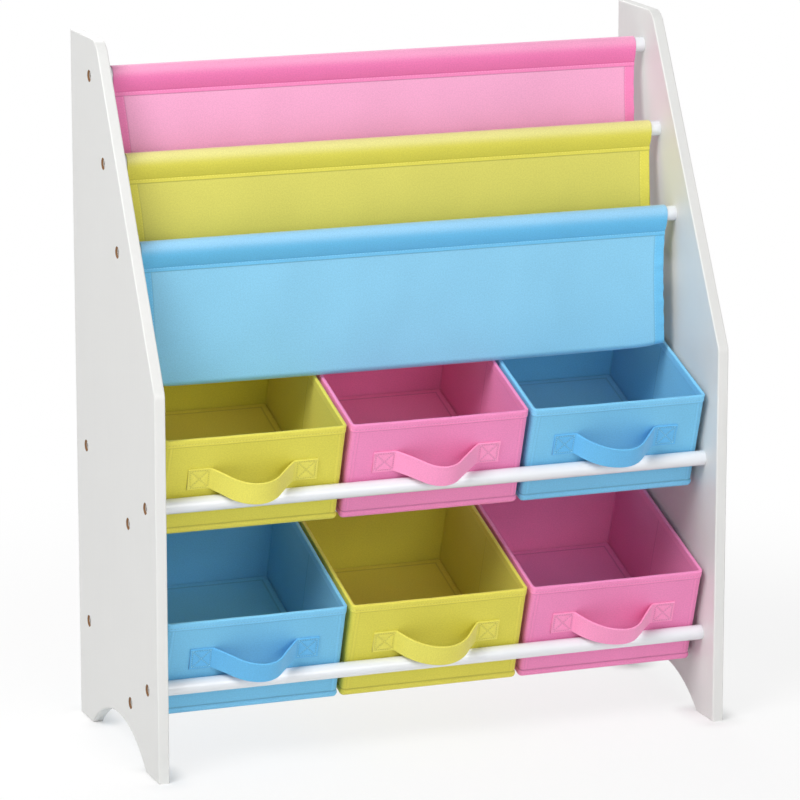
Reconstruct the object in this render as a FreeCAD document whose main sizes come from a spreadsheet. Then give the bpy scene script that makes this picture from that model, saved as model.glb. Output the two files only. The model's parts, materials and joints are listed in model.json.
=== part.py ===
import FreeCAD, Part
import math
import os

import Sketcher

# A children's bookshelf: two sloping side boards joined by nine tubes, two hanging book slings
# and two tiers of three fabric boxes that rest on the tubes at a tilt.
# Millimetres and degrees. X runs to the right, Y to the rear, Z up; the origin is under the middle.

doc = FreeCAD.newDocument("ChildrensBookshelf")

driving_sizes = {
    # side boards
    "overall_width": 632.0,
    "overall_depth": 275.0,
    "overall_height": 740.0,
    "panel_thickness": 12.0,
    "front_edge_height": 407.0,
    "top_edge_length": 89.5,
    "top_corner_radius": 22.0,
    "front_corner_radius": 15.0,
    "panel_edge_radius": 1.5,
    "foot_length": 43.0,
    "arch_rise": 37.0,
    # tubes and the box tiers
    "rod_diameter": 16.0,
    "rod_wall": 1.2,
    "box_tilt": 19.0,
    "rail_inset": 34.5,
    "lower_rail_height": 90.7,
    "rail_rise": 39.9,
    "rear_rod_inset": 35.5,
    "tier_pitch": 192.0,
    "seat_clearance": 0.3,
    # sling tubes, stepping forwards and down from the rear one
    "sling_rod_inset": 66.5,
    "sling_rod_drop": 39.5,
    "sling_step_forward": 44.75,
    "sling_step_down": 84.25,
    # tube ends
    "plug_length": 25.0,
    "plug_clearance": 0.05,
    "screw_diameter": 6.0,
    "screw_clearance": 0.2,
    "screw_length": 32.0,
    "screw_head_diameter": 11.4,
    "screw_head_height": 3.0,
    "screw_head_sink": 0.5,
    # book slings
    "sling_side_gap": 11.3,
    "sling_cloth": 1.2,
    "sleeve_clearance": 0.3,
    "stitch_drop": 26.0,
    "pocket_fold_radius": 5.0,
    "pocket_lean_angle": 4.36,
    "sling_box_clearance": 1.2,
    "seam_gap": 0.1,
    # fabric boxes
    "box_gap": 5.0,
    "box_height": 113.0,
    "box_overhang": 38.4,
    "box_tail": 37.7,
    "box_corner_radius": 4.5,
    "cover_cloth": 1.0,
    "wall_board": 1.4,
    "lining_cloth": 0.6,
    "hem_height": 9.0,
    "hem_proud": 0.6,
    "seam_band_height": 7.5,
    "seam_band_proud": 1.2,
    "side_fold_gap": 2.0,
    "base_board": 2.5,
    "base_board_clearance": 1.0,
    # handle loops
    "strap_width": 24.6,
    "strap_cloth": 2.0,
    "strap_height": 65.5,
    "strap_end_reach": 70.0,
    "strap_loop_reach": 47.0,
    "strap_bulge": 29.5,
    "strap_bend_radius": 4.0,
    "strap_arm_angle": 58.0,
}

sheet = doc.addObject("Spreadsheet::Sheet", "Sizes")
for row, (alias, number) in enumerate(driving_sizes.items(), start=1):
    sheet.set(f"A{row}", alias)
    sheet.set(f"B{row}", str(number))
    sheet.setAlias(f"B{row}", alias)
doc.recompute()


def value(expression):
    """The number that an expression on the sheet gives."""
    return float(sheet.evalExpression(expression))


# Places and sizes that follow from the driving ones, as expressions.
inner_width = "(Sizes.overall_width - 2 * Sizes.panel_thickness)"
rod_radius = "(Sizes.rod_diameter / 2)"
tilt_cos = "cos(Sizes.box_tilt)"
tilt_sin = "sin(Sizes.box_tilt)"
seat = f"({rod_radius} + Sizes.seat_clearance)"


def rail_place(tier):
    y = "(Sizes.rail_inset - Sizes.overall_depth / 2)"
    z = f"(Sizes.lower_rail_height + {tier} * Sizes.tier_pitch)"
    return y, z


def box_origin(tier):
    """The lower front edge of a tier's boxes, behind the rail and below it."""
    y, z = rail_place(tier)
    return (
        f"({y} + {seat} * {tilt_cos} + Sizes.rail_rise * {tilt_sin})",
        f"({z} + {seat} * {tilt_sin} - Sizes.rail_rise * {tilt_cos})",
    )


def support_place(tier):
    y, z = box_origin(tier)
    return (
        f"({y} + Sizes.box_overhang * {tilt_cos} + {seat} * {tilt_sin})",
        f"({z} + Sizes.box_overhang * {tilt_sin} - {seat} * {tilt_cos})",
    )


def rear_place(tier):
    support_y, support_z = support_place(tier)
    y = "(Sizes.overall_depth / 2 - Sizes.rear_rod_inset)"
    return y, f"({support_z} + ({y} - {support_y}) * tan(Sizes.box_tilt))"


def sling_rod_place(step):
    y = f"(Sizes.overall_depth / 2 - Sizes.sling_rod_inset - {step} * Sizes.sling_step_forward)"
    z = f"(Sizes.overall_height - Sizes.sling_rod_drop - {step} * Sizes.sling_step_down)"
    return y, z


rod_places = {
    "sling_rod_rear": sling_rod_place(0),
    "sling_rod_middle": sling_rod_place(1),
    "sling_rod_front": sling_rod_place(2),
}
tiers = {"lower": 0, "upper": 1}
for tier_name, tier in tiers.items():
    rod_places[f"{tier_name}_rear_rod"] = rear_place(tier)
    rod_places[f"{tier_name}_support_rod"] = support_place(tier)
    rod_places[f"{tier_name}_front_rail"] = rail_place(tier)

box_width = f"(({inner_width} - 4 * Sizes.box_gap) / 3)"
box_pitch = f"({box_width} + Sizes.box_gap)"
rod_spacing = f"((({rear_place(0)[0]}) - ({support_place(0)[0]})) / {tilt_cos})"
box_depth = f"(Sizes.box_overhang + {rod_spacing} + Sizes.box_tail)"
wall_depth = "(Sizes.cover_cloth + Sizes.wall_board + Sizes.lining_cloth)"


def new_body(label):
    body = doc.addObject("PartDesign::Body", label)
    body.Label = label
    body.AllowCompound = True
    return body


def new_sketch(body, name, role, offset="0"):
    """A sketch on one of the body's own origin planes, moved along that plane's normal."""
    sketch = body.newObject("Sketcher::SketchObject", name)
    plane = next(item for item in body.Origin.OriginFeatures if item.Role == role)
    sketch.AttachmentSupport = (plane, [""])
    sketch.MapMode = "FlatFace"
    sketch.setExpression("AttachmentOffset.Base.z", offset)
    return sketch


def hold(sketch, kind, *references, size):
    """A constraint whose size stays bound to the sheet."""
    index = sketch.addConstraint(Sketcher.Constraint(kind, *references, value(size)))
    sketch.setExpression(f"Constraints[{index}]", size)


def hold_point(sketch, geometry, end, x, y):
    hold(sketch, "DistanceX", -1, 1, geometry, end, size=x)
    hold(sketch, "DistanceY", -1, 1, geometry, end, size=y)


def point(x, y):
    return FreeCAD.Vector(value(x), value(y), 0)


def add_circle(sketch, x, y, radius):
    normal = FreeCAD.Vector(0, 0, 1)
    circle = sketch.addGeometry(Part.Circle(point(x, y), normal, value(radius)))
    hold_point(sketch, circle, 3, x, y)
    hold(sketch, "Radius", circle, size=radius)


def add_rod_circles(sketch, radius):
    for y, z in rod_places.values():
        add_circle(sketch, y, z, radius)


def add_rectangle(sketch, x_low, x_high, y_low, y_high, radius):
    """A rectangle with round corners: each line runs on into the arc of the next corner."""
    left, right, front, rear = (value(edge) for edge in (x_low, x_high, y_low, y_high))
    r = value(radius)
    corners = [(right - r, front + r), (right - r, rear - r), (left + r, rear - r), (left + r, front + r)]
    outward = [(0, -r), (r, 0), (0, r), (-r, 0)]
    lines = []
    arcs = []
    for index, (x, y) in enumerate(corners):
        before_x, before_y = corners[index - 1]
        out_x, out_y = outward[index]
        start = FreeCAD.Vector(before_x + out_x, before_y + out_y, 0)
        end = FreeCAD.Vector(x + out_x, y + out_y, 0)
        lines.append(sketch.addGeometry(Part.LineSegment(start, end)))
        circle = Part.Circle(FreeCAD.Vector(x, y, 0), FreeCAD.Vector(0, 0, 1), r)
        first_angle = math.radians(90 * (index - 1))
        arcs.append(sketch.addGeometry(Part.ArcOfCircle(circle, first_angle, first_angle + math.pi / 2)))
    for index in range(4):
        sketch.addConstraint(Sketcher.Constraint("Tangent", lines[index], 2, arcs[index], 1))
        sketch.addConstraint(Sketcher.Constraint("Tangent", arcs[index], 2, lines[(index + 1) % 4], 1))
        direction = "Vertical" if index % 2 else "Horizontal"
        sketch.addConstraint(Sketcher.Constraint(direction, lines[index]))
    for arc in arcs[1:]:
        sketch.addConstraint(Sketcher.Constraint("Equal", arcs[0], arc))
    hold(sketch, "Radius", arcs[0], size=radius)
    hold(sketch, "DistanceY", -1, 1, lines[0], 1, size=y_low)
    hold(sketch, "DistanceX", -1, 1, lines[1], 1, size=x_high)
    hold(sketch, "DistanceY", -1, 1, lines[2], 1, size=y_high)
    hold(sketch, "DistanceX", -1, 1, lines[3], 1, size=x_low)


def add_pad(body, sketch, name, length):
    pad = body.newObject("PartDesign::Pad", name)
    pad.Profile = sketch
    pad.setExpression("Length", length)
    return pad


# Two places nearer than this share of a board's thickness are the same place.
match_share = 0.001
match_tolerance = match_share * value("Sizes.panel_thickness")


def edges_along_x(shape, y, z):
    """Names of the straight edges that run along X through one place."""
    names = []
    for index, edge in enumerate(shape.Edges, start=1):
        ends = [vertex.Point for vertex in edge.Vertexes]
        if len(ends) == 2 and all(math.hypot(end.y - y, end.z - z) < match_tolerance for end in ends):
            names.append(f"Edge{index}")
    return names


def faces_across_x(shape):
    names = []
    for index, face in enumerate(shape.Faces, start=1):
        if face.BoundBox.XLength < match_tolerance:
            names.append(f"Face{index}")
    return names


def add_fillet(body, base, name, references, radius):
    fillet = body.newObject("PartDesign::Fillet", name)
    fillet.Base = (base, references)
    fillet.setExpression("Radius", radius)
    doc.recompute()
    return fillet


outer_face = {"left": "(-Sizes.overall_width / 2)", "right": "(Sizes.overall_width / 2)"}
inner_face = {"left": f"(-{inner_width} / 2)", "right": f"({inner_width} / 2)"}
# The cone of a screw head, from its rim to its shank.
head_run = "((Sizes.screw_head_diameter - Sizes.screw_diameter) / 2)"
countersink_angle = f"(2 * atan({head_run} / Sizes.screw_head_height))"


def make_side_panel(side):
    """A board with a sloping front edge, an arched foot and a countersunk hole for each tube."""
    body = new_body(f"side_panel_{side}")
    start = outer_face["left"] if side == "left" else inner_face["right"]
    sketch = new_sketch(body, f"outline_{side}", "YZ_Plane", start)
    rear = "(Sizes.overall_depth / 2)"
    front = "(-Sizes.overall_depth / 2)"
    arch_half = "(Sizes.overall_depth / 2 - Sizes.foot_length)"
    corners = [
        (f"(-{arch_half})", "0"),
        (front, "0"),
        (front, "Sizes.front_edge_height"),
        (f"({rear} - Sizes.top_edge_length)", "Sizes.overall_height"),
        (rear, "Sizes.overall_height"),
        (rear, "0"),
        (arch_half, "0"),
    ]
    lines = []
    for first, second in zip(corners, corners[1:]):
        lines.append(sketch.addGeometry(Part.LineSegment(point(*first), point(*second))))
    for first, second in zip(lines, lines[1:]):
        sketch.addConstraint(Sketcher.Constraint("Coincident", first, 2, second, 1))
    for line, corner in zip(lines, corners):
        hold_point(sketch, line, 1, *corner)
    hold_point(sketch, lines[-1], 2, *corners[-1])
    apex = point("0", "Sizes.arch_rise")
    arch = sketch.addGeometry(Part.Arc(point(*corners[-1]), apex, point(*corners[0])))
    sketch.addConstraint(Sketcher.Constraint("Coincident", arch, 1, lines[-1], 2))
    sketch.addConstraint(Sketcher.Constraint("Coincident", arch, 2, lines[0], 1))
    arch_radius = f"(({arch_half} ^ 2 + Sizes.arch_rise ^ 2) / (2 * Sizes.arch_rise))"
    hold(sketch, "Radius", arch, size=arch_radius)
    board = add_pad(body, sketch, f"board_{side}", "Sizes.panel_thickness")
    doc.recompute()

    rounded = board
    for name, corner, radius in (
        ("front_corner", corners[2], "Sizes.front_corner_radius"),
        ("top_corner", corners[3], "Sizes.top_corner_radius"),
    ):
        place = point(*corner)
        edges = edges_along_x(rounded.Shape, place.x, place.y)
        rounded = add_fillet(body, rounded, f"{name}_{side}", edges, radius)
    rim = faces_across_x(rounded.Shape)
    rounded = add_fillet(body, rounded, f"soft_edges_{side}", rim, "Sizes.panel_edge_radius")

    holes_sketch = new_sketch(body, f"hole_places_{side}", "YZ_Plane", outer_face[side])
    add_rod_circles(holes_sketch, "Sizes.screw_diameter / 2")
    doc.recompute()
    hole = body.newObject("PartDesign::Hole", f"screw_holes_{side}")
    hole.Profile = holes_sketch
    hole.DepthType = "ThroughAll"
    hole.Threaded = False
    hole.HoleCutType = "Countersink"
    hole.HoleCutCustomValues = True
    hole.Reversed = side == "left"
    hole.setExpression("Diameter", "Sizes.screw_diameter + 2 * Sizes.screw_clearance")
    hole.setExpression("HoleCutDiameter", "Sizes.screw_head_diameter + 2 * Sizes.screw_head_sink")
    hole.setExpression("HoleCutCountersinkAngle", countersink_angle)
    return body


def make_tube(label, y, z):
    body = new_body(label)
    sketch = new_sketch(body, f"{label}_section", "YZ_Plane", inner_face["left"])
    add_circle(sketch, y, z, rod_radius)
    add_circle(sketch, y, z, f"({rod_radius} - Sizes.rod_wall)")
    add_pad(body, sketch, f"{label}_length", inner_width)
    return body


def make_plugs(side):
    """A threaded plug in the end of each tube, flush with the tube's end."""
    body = new_body(f"rod_end_plugs_{side}")
    start = inner_face["left"] if side == "left" else f"({inner_face['right']} - Sizes.plug_length)"
    sketch = new_sketch(body, f"plug_sections_{side}", "YZ_Plane", start)
    add_rod_circles(sketch, f"({rod_radius} - Sizes.rod_wall - Sizes.plug_clearance)")
    add_rod_circles(sketch, "(Sizes.screw_diameter / 2 + Sizes.plug_clearance)")
    add_pad(body, sketch, f"plugs_{side}", "Sizes.plug_length")
    return body


def make_screws(side):
    """A countersunk screw for each tube end, its head sunk a little below the board's face."""
    body = new_body(f"screws_{side}")
    sign = "1" if side == "left" else "-1"
    head_top = f"({outer_face[side]} + {sign} * Sizes.screw_head_sink)"
    shanks = new_sketch(body, f"shank_sections_{side}", "YZ_Plane", head_top)
    add_rod_circles(shanks, "Sizes.screw_diameter / 2")
    shank_pad = add_pad(body, shanks, f"shanks_{side}", "Sizes.screw_length")
    shank_pad.Reversed = side == "right"
    heads = new_sketch(body, f"head_sections_{side}", "YZ_Plane", head_top)
    add_rod_circles(heads, "Sizes.screw_head_diameter / 2")
    head_pad = add_pad(body, heads, f"heads_{side}", "Sizes.screw_head_height")
    head_pad.Reversed = side == "right"
    head_pad.setExpression("TaperAngle", f"-{countersink_angle} / 2")
    return body


# The book slings are thin cloth bent round tubes, so their sections are made of tangent lines and arcs.
cloth = value("Sizes.sling_cloth")
sleeve_inner = value(f"{rod_radius} + Sizes.sleeve_clearance")
sleeve_outer = sleeve_inner + cloth
stitch_drop = value("Sizes.stitch_drop")
fold_radius = value("Sizes.pocket_fold_radius")
sling_half = value(f"{inner_width} / 2 - Sizes.sling_side_gap")
sling_rods = [FreeCAD.Vector(0, value(y), value(z)) for y, z in (sling_rod_place(step) for step in range(3))]
# How far up the seam, between the points of a sleeve's outer and inner drop, a cloth leg starts.
leg_root_share = 0.75


def across(y, z):
    return FreeCAD.Vector(-sling_half, y, z)


def drop_face(rod, radius):
    """The drop shape of cloth round a tube: an arc over the top and two tangents to the seam below."""
    drop = stitch_drop * radius / sleeve_outer
    half_angle = math.asin(sleeve_outer / stitch_drop)
    side_y = radius * math.cos(half_angle)
    side_z = rod.z - radius * math.sin(half_angle)
    front = across(rod.y - side_y, side_z)
    rear = across(rod.y + side_y, side_z)
    tip = across(rod.y, rod.z - drop)
    edges = [
        Part.Arc(front, across(rod.y, rod.z + radius), rear).toShape(),
        Part.LineSegment(rear, tip).toShape(),
        Part.LineSegment(tip, front).toShape(),
    ]
    return Part.Face(Part.Wire(edges))


def sleeve(rod):
    ring = drop_face(rod, sleeve_outer).cut(drop_face(rod, sleeve_inner))
    return ring.extrude(FreeCAD.Vector(2 * sling_half, 0, 0))


def leg_root(rod):
    """Where the legs of cloth leave a sleeve's seam."""
    inner_drop = stitch_drop * sleeve_inner / sleeve_outer
    return across(rod.y, rod.z - stitch_drop + leg_root_share * (stitch_drop - inner_drop))


def strip(start, end):
    """A straight leg of cloth between two places."""
    along = (end - start).normalize()
    side = FreeCAD.Vector(1, 0, 0).cross(along) * (cloth / 2)
    corners = [start + side, end + side, end - side, start - side, start + side]
    face = Part.Face(Part.makePolygon(corners))
    return face.extrude(FreeCAD.Vector(2 * sling_half, 0, 0))


def fold(centre, first_angle, last_angle):
    """The round bottom of a pocket, between two directions out of its centre."""
    def rim(radius, angle):
        return across(centre.y + radius * math.cos(angle), centre.z + radius * math.sin(angle))

    middle = (first_angle + last_angle) / 2
    outer = fold_radius + cloth / 2
    inner = fold_radius - cloth / 2
    edges = [
        Part.Arc(rim(outer, first_angle), rim(outer, middle), rim(outer, last_angle)).toShape(),
        Part.LineSegment(rim(outer, last_angle), rim(inner, last_angle)).toShape(),
        Part.Arc(rim(inner, last_angle), rim(inner, middle), rim(inner, first_angle)).toShape(),
        Part.LineSegment(rim(inner, first_angle), rim(outer, first_angle)).toShape(),
    ]
    return Part.Face(Part.Wire(edges)).extrude(FreeCAD.Vector(2 * sling_half, 0, 0))


def pocket_centre(front_rod, depth):
    return across(front_rod.y + fold_shift, front_rod.z - depth)


def front_wall(centre, front_rod):
    """The pocket's front wall: its foot on the fold, its angle out of the fold's centre and its top."""
    top = leg_root(front_rod)
    to_top = top - centre
    lean = math.atan2(to_top.y, to_top.z) + math.asin(fold_radius / to_top.Length)
    out = FreeCAD.Vector(0, -math.cos(lean), math.sin(lean))
    return centre + out * fold_radius, math.pi - lean, top


def rear_wall(centre, rear_rod):
    """The same for the rear wall, whose foot stops short of the fold by the seam's gap."""
    top = leg_root(rear_rod)
    to_top = top - centre
    lean = math.atan2(to_top.y, to_top.z) - math.asin(fold_radius / to_top.Length)
    along = FreeCAD.Vector(0, math.sin(lean), math.cos(lean))
    out = FreeCAD.Vector(0, math.cos(lean), -math.sin(lean))
    foot = centre + out * fold_radius + along * value("Sizes.seam_gap")
    return foot, 2 * math.pi - lean, top


# A pocket's front wall leans forwards from its tube. The front pocket hangs just above the open tops of
# the upper boxes, which fall away towards the front; the rear pocket is as deep.
box_y, box_z = (value(place) for place in box_origin(tiers["upper"]))
tilt = math.radians(value("Sizes.box_tilt"))
lean_slope = math.tan(math.radians(value("Sizes.pocket_lean_angle")))
upright_fold_y = sling_rods[2].y + fold_radius
box_top_z = box_z + value("Sizes.box_height") / math.cos(tilt) + (upright_fold_y - box_y) * math.tan(tilt)
fold_clearance = fold_radius + cloth / 2 + value("Sizes.sling_box_clearance")
upright_depth = sling_rods[2].z - box_top_z - fold_clearance / math.cos(tilt)
pocket_depth = upright_depth / (1 - lean_slope * math.tan(tilt))
fold_shift = fold_radius - pocket_depth * lean_slope


def make_sling(label, rod, pocket_rear_rod=None, wall_of=None):
    """A cloth panel: its sleeve, the front wall and fold of its own pocket, and the rear wall of the next."""
    solids = [sleeve(rod)]
    if pocket_rear_rod is not None:
        centre = pocket_centre(rod, pocket_depth)
        front_foot, front_angle, front_top = front_wall(centre, rod)
        rear_foot, rear_angle, rear_top = rear_wall(centre, pocket_rear_rod)
        solids.append(strip(front_top, front_foot))
        solids.append(fold(centre, front_angle, rear_angle))
    if wall_of is not None:
        foot, angle, top = rear_wall(pocket_centre(wall_of, pocket_depth), rod)
        solids.append(strip(foot, top))
    panel = solids[0].multiFuse(solids[1:]).removeSplitter()
    feature = doc.addObject("Part::Feature", label)
    feature.Label = label
    feature.Shape = panel.Solids[0] if len(panel.Solids) == 1 else panel
    return feature


def place_in_box_frame(item, column, tier):
    """Boxes are drawn level, with their lower front edge at the origin, then tilted on to the tubes."""
    y, z = box_origin(tier)
    item.Placement = FreeCAD.Placement(FreeCAD.Vector(), FreeCAD.Rotation(FreeCAD.Vector(1, 0, 0), 1))
    item.setExpression("Placement.Base.x", f"{column} * {box_pitch}")
    item.setExpression("Placement.Base.y", y)
    item.setExpression("Placement.Base.z", z)
    item.setExpression("Placement.Rotation.Angle", "Sizes.box_tilt")


def add_box_outline(sketch, inset):
    """The box's plan, moved inwards from the cover's outer face."""
    half = f"({box_width} / 2 - {inset})"
    add_rectangle(
        sketch, f"(-{half})", half, f"({inset})", f"({box_depth} - {inset})",
        f"(Sizes.box_corner_radius - {inset})",
    )


def add_ring(body, name, bottom, height, outer_inset, inner_inset=None):
    sketch = new_sketch(body, f"{name}_plan", "XY_Plane", bottom)
    add_box_outline(sketch, outer_inset)
    if inner_inset is not None:
        add_box_outline(sketch, inner_inset)
    return add_pad(body, sketch, name, height)


lid_bottom = "(Sizes.box_height - Sizes.cover_cloth)"


def make_cover(name):
    """The outer tub, with a hem that closes over the wall and a seam band round the floor."""
    body = new_body(f"{name}_cover")
    add_ring(body, f"{name}_cover_floor", "0", "Sizes.cover_cloth", "0")
    add_ring(body, f"{name}_cover_wall", "0", "Sizes.box_height", "0", "Sizes.cover_cloth")
    add_ring(body, f"{name}_seam_band", "0", "Sizes.seam_band_height", "(-Sizes.seam_band_proud)",
             "Sizes.cover_cloth")
    add_ring(body, f"{name}_hem", "(Sizes.box_height - Sizes.hem_height)", "Sizes.hem_height",
             "(-Sizes.hem_proud)", "Sizes.cover_cloth")
    add_ring(body, f"{name}_hem_top", lid_bottom, "Sizes.cover_cloth", "0", wall_depth)
    return body


def make_lining(name):
    body = new_body(f"{name}_lining")
    outer_inset = "(Sizes.cover_cloth + Sizes.wall_board)"
    add_ring(body, f"{name}_lining_floor", "Sizes.cover_cloth", "Sizes.lining_cloth", outer_inset)
    add_ring(body, f"{name}_lining_wall", "Sizes.cover_cloth", f"{lid_bottom} - Sizes.cover_cloth",
             outer_inset, wall_depth)
    return body


def make_board(name, x, y, z, length, width, height):
    board = doc.addObject("Part::Box", name)
    for axis, place in (("x", x), ("y", y), ("z", z)):
        board.setExpression(f"Placement.Base.{axis}", place)
    board.setExpression("Length", length)
    board.setExpression("Width", width)
    board.setExpression("Height", height)
    return board


def make_wall_boards(name):
    """Front and rear boards, and two boards in each side wall that leave room for its fold."""
    straight_half = f"({box_width} / 2 - Sizes.box_corner_radius)"
    height = f"({lid_bottom} - Sizes.cover_cloth)"
    inset = "Sizes.cover_cloth"
    boards = []
    for end, y in (("front", inset), ("rear", f"({box_depth} - {inset} - Sizes.wall_board)")):
        boards.append(make_board(f"{name}_{end}_board", f"-{straight_half}", y, inset,
                                 f"2 * {straight_half}", "Sizes.wall_board", height))
    leaf = f"({box_depth} / 2 - Sizes.box_corner_radius - Sizes.side_fold_gap / 2)"
    for side, x in (("left", f"(-{box_width} / 2 + {inset})"),
                    ("right", f"({box_width} / 2 - {inset} - Sizes.wall_board)")):
        for end, y in (("front", "Sizes.box_corner_radius"),
                       ("rear", f"({box_depth} / 2 + Sizes.side_fold_gap / 2)")):
            boards.append(make_board(f"{name}_{side}_{end}_board", x, y, inset,
                                     "Sizes.wall_board", leaf, height))
    group = doc.addObject("Part::Compound", f"{name}_wall_boards")
    group.Links = boards
    return group


def make_base_board(name):
    inset = f"({wall_depth} + Sizes.base_board_clearance)"
    return make_board(f"{name}_base_board_flat", f"(-{box_width} / 2 + {inset})", inset,
                      "(Sizes.cover_cloth + Sizes.lining_cloth)", f"{box_width} - 2 * {inset}",
                      f"{box_depth} - 2 * {inset}", "Sizes.base_board")


def make_handle(name):
    """A webbing loop: flat ends on the front wall, and a straight arm each side of the bulge between them."""
    body = new_body(f"{name}_handle")
    middle = "(-Sizes.strap_cloth / 2)"
    bend = "Sizes.strap_bend_radius"
    reach = "Sizes.strap_loop_reach"
    arm_sin = "sin(Sizes.strap_arm_angle)"
    arm_cos = "cos(Sizes.strap_arm_angle)"
    both_bends = f"(({reach} * {arm_sin} - Sizes.strap_bulge * {arm_cos}) / (1 - {arm_cos}))"
    crown = f"({both_bends} - {bend})"
    path = new_sketch(body, f"{name}_handle_path", "XY_Plane", "Sizes.strap_height")
    turn = math.radians(value("Sizes.strap_arm_angle"))
    end_x, loop_x, y = value("Sizes.strap_end_reach"), value(reach), value(middle)
    up = FreeCAD.Vector(0, 0, 1)
    left_circle = Part.Circle(FreeCAD.Vector(-loop_x, y - value(bend), 0), up, value(bend))
    right_circle = Part.Circle(FreeCAD.Vector(loop_x, y - value(bend), 0), up, value(bend))
    crown_y = y - value("Sizes.strap_bulge") + value(crown)
    crown_circle = Part.Circle(FreeCAD.Vector(0, crown_y, 0), up, value(crown))
    quarter = math.pi / 2
    left_line = path.addGeometry(Part.LineSegment(FreeCAD.Vector(-end_x, y, 0), FreeCAD.Vector(-loop_x, y, 0)))
    left_arc = Part.ArcOfCircle(left_circle, quarter - turn, quarter)
    loop_arc = Part.ArcOfCircle(crown_circle, -quarter - turn, -quarter + turn)
    right_arc = Part.ArcOfCircle(right_circle, quarter, quarter + turn)
    left_bend = path.addGeometry(left_arc)
    left_arm = path.addGeometry(Part.LineSegment(left_arc.StartPoint, loop_arc.StartPoint))
    loop = path.addGeometry(loop_arc)
    right_arm = path.addGeometry(Part.LineSegment(loop_arc.EndPoint, right_arc.EndPoint))
    right_bend = path.addGeometry(right_arc)
    right_line = path.addGeometry(Part.LineSegment(FreeCAD.Vector(loop_x, y, 0), FreeCAD.Vector(end_x, y, 0)))
    for first, first_end, second, second_end in (
        (left_line, 2, left_bend, 2),
        (left_bend, 1, left_arm, 1),
        (left_arm, 2, loop, 1),
        (loop, 2, right_arm, 1),
        (right_arm, 2, right_bend, 2),
        (right_bend, 1, right_line, 1),
    ):
        path.addConstraint(Sketcher.Constraint("Tangent", first, first_end, second, second_end))
    hold_point(path, left_line, 1, "(-Sizes.strap_end_reach)", middle)
    hold_point(path, left_line, 2, f"(-{reach})", middle)
    hold_point(path, right_line, 1, reach, middle)
    hold_point(path, right_line, 2, "Sizes.strap_end_reach", middle)
    hold(path, "Radius", left_bend, size=bend)
    hold(path, "Radius", right_bend, size=bend)
    hold(path, "Radius", loop, size=crown)
    hold(path, "Angle", left_arm, size="(-Sizes.strap_arm_angle)")
    hold(path, "Angle", right_arm, size="Sizes.strap_arm_angle")
    section = new_sketch(body, f"{name}_handle_section", "YZ_Plane", "(-Sizes.strap_end_reach)")
    half = "(Sizes.strap_width / 2)"
    corners = [
        ("(-Sizes.strap_cloth)", f"(Sizes.strap_height - {half})"),
        ("0", f"(Sizes.strap_height - {half})"),
        ("0", f"(Sizes.strap_height + {half})"),
        ("(-Sizes.strap_cloth)", f"(Sizes.strap_height + {half})"),
    ]
    sides = []
    for index, corner in enumerate(corners):
        following = corners[(index + 1) % 4]
        sides.append(section.addGeometry(Part.LineSegment(point(*corner), point(*following))))
    for index, side in enumerate(sides):
        section.addConstraint(Sketcher.Constraint("Coincident", side, 2, sides[(index + 1) % 4], 1))
        hold_point(section, side, 1, *corners[index])
    doc.recompute()
    pipe = body.newObject("PartDesign::AdditivePipe", f"{name}_handle_sweep")
    pipe.Profile = section
    pipe.Spine = (path, [f"Edge{index}" for index in range(1, path.GeometryCount + 1)])
    return body


sub_parts = []
for side in ("left", "right"):
    sub_parts.append(make_side_panel(side))
    sub_parts.append(make_plugs(side))
    sub_parts.append(make_screws(side))
for label, (y, z) in rod_places.items():
    sub_parts.append(make_tube(label, y, z))

rear_rod, middle_rod, front_rod = sling_rods
sub_parts.append(make_sling("sling_pink", rear_rod, wall_of=middle_rod))
sub_parts.append(make_sling("sling_yellow", middle_rod, pocket_rear_rod=rear_rod, wall_of=front_rod))
sub_parts.append(make_sling("sling_blue", front_rod, pocket_rear_rod=middle_rod))

columns = {"left": -1, "middle": 0, "right": 1}
for tier_name, tier in tiers.items():
    for column_name, column in columns.items():
        name = f"box_{tier_name}_{column_name}"
        pieces = [make_cover(name), make_lining(name), make_wall_boards(name), make_handle(name)]
        base = doc.addObject("Part::Compound", f"{name}_base_board")
        base.Links = [make_base_board(name)]
        pieces.append(base)
        for piece in pieces:
            place_in_box_frame(piece, column, tier)
            sub_parts.append(piece)

doc.recompute()

for item in doc.Objects:
    if "Invalid" in item.State or "Error" in item.State:
        raise RuntimeError(f"{item.Name} failed: {item.State}")
for piece in sub_parts:
    if piece.Shape.isNull() or not piece.Shape.isValid():
        raise RuntimeError(f"{piece.Label} has no valid shape")

os.makedirs("parts", exist_ok=True)
for piece in sub_parts:
    piece.Shape.exportStep(f"parts/{piece.Label}.step")
    print(piece.Label, len(piece.Shape.Solids), round(piece.Shape.Volume))
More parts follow.
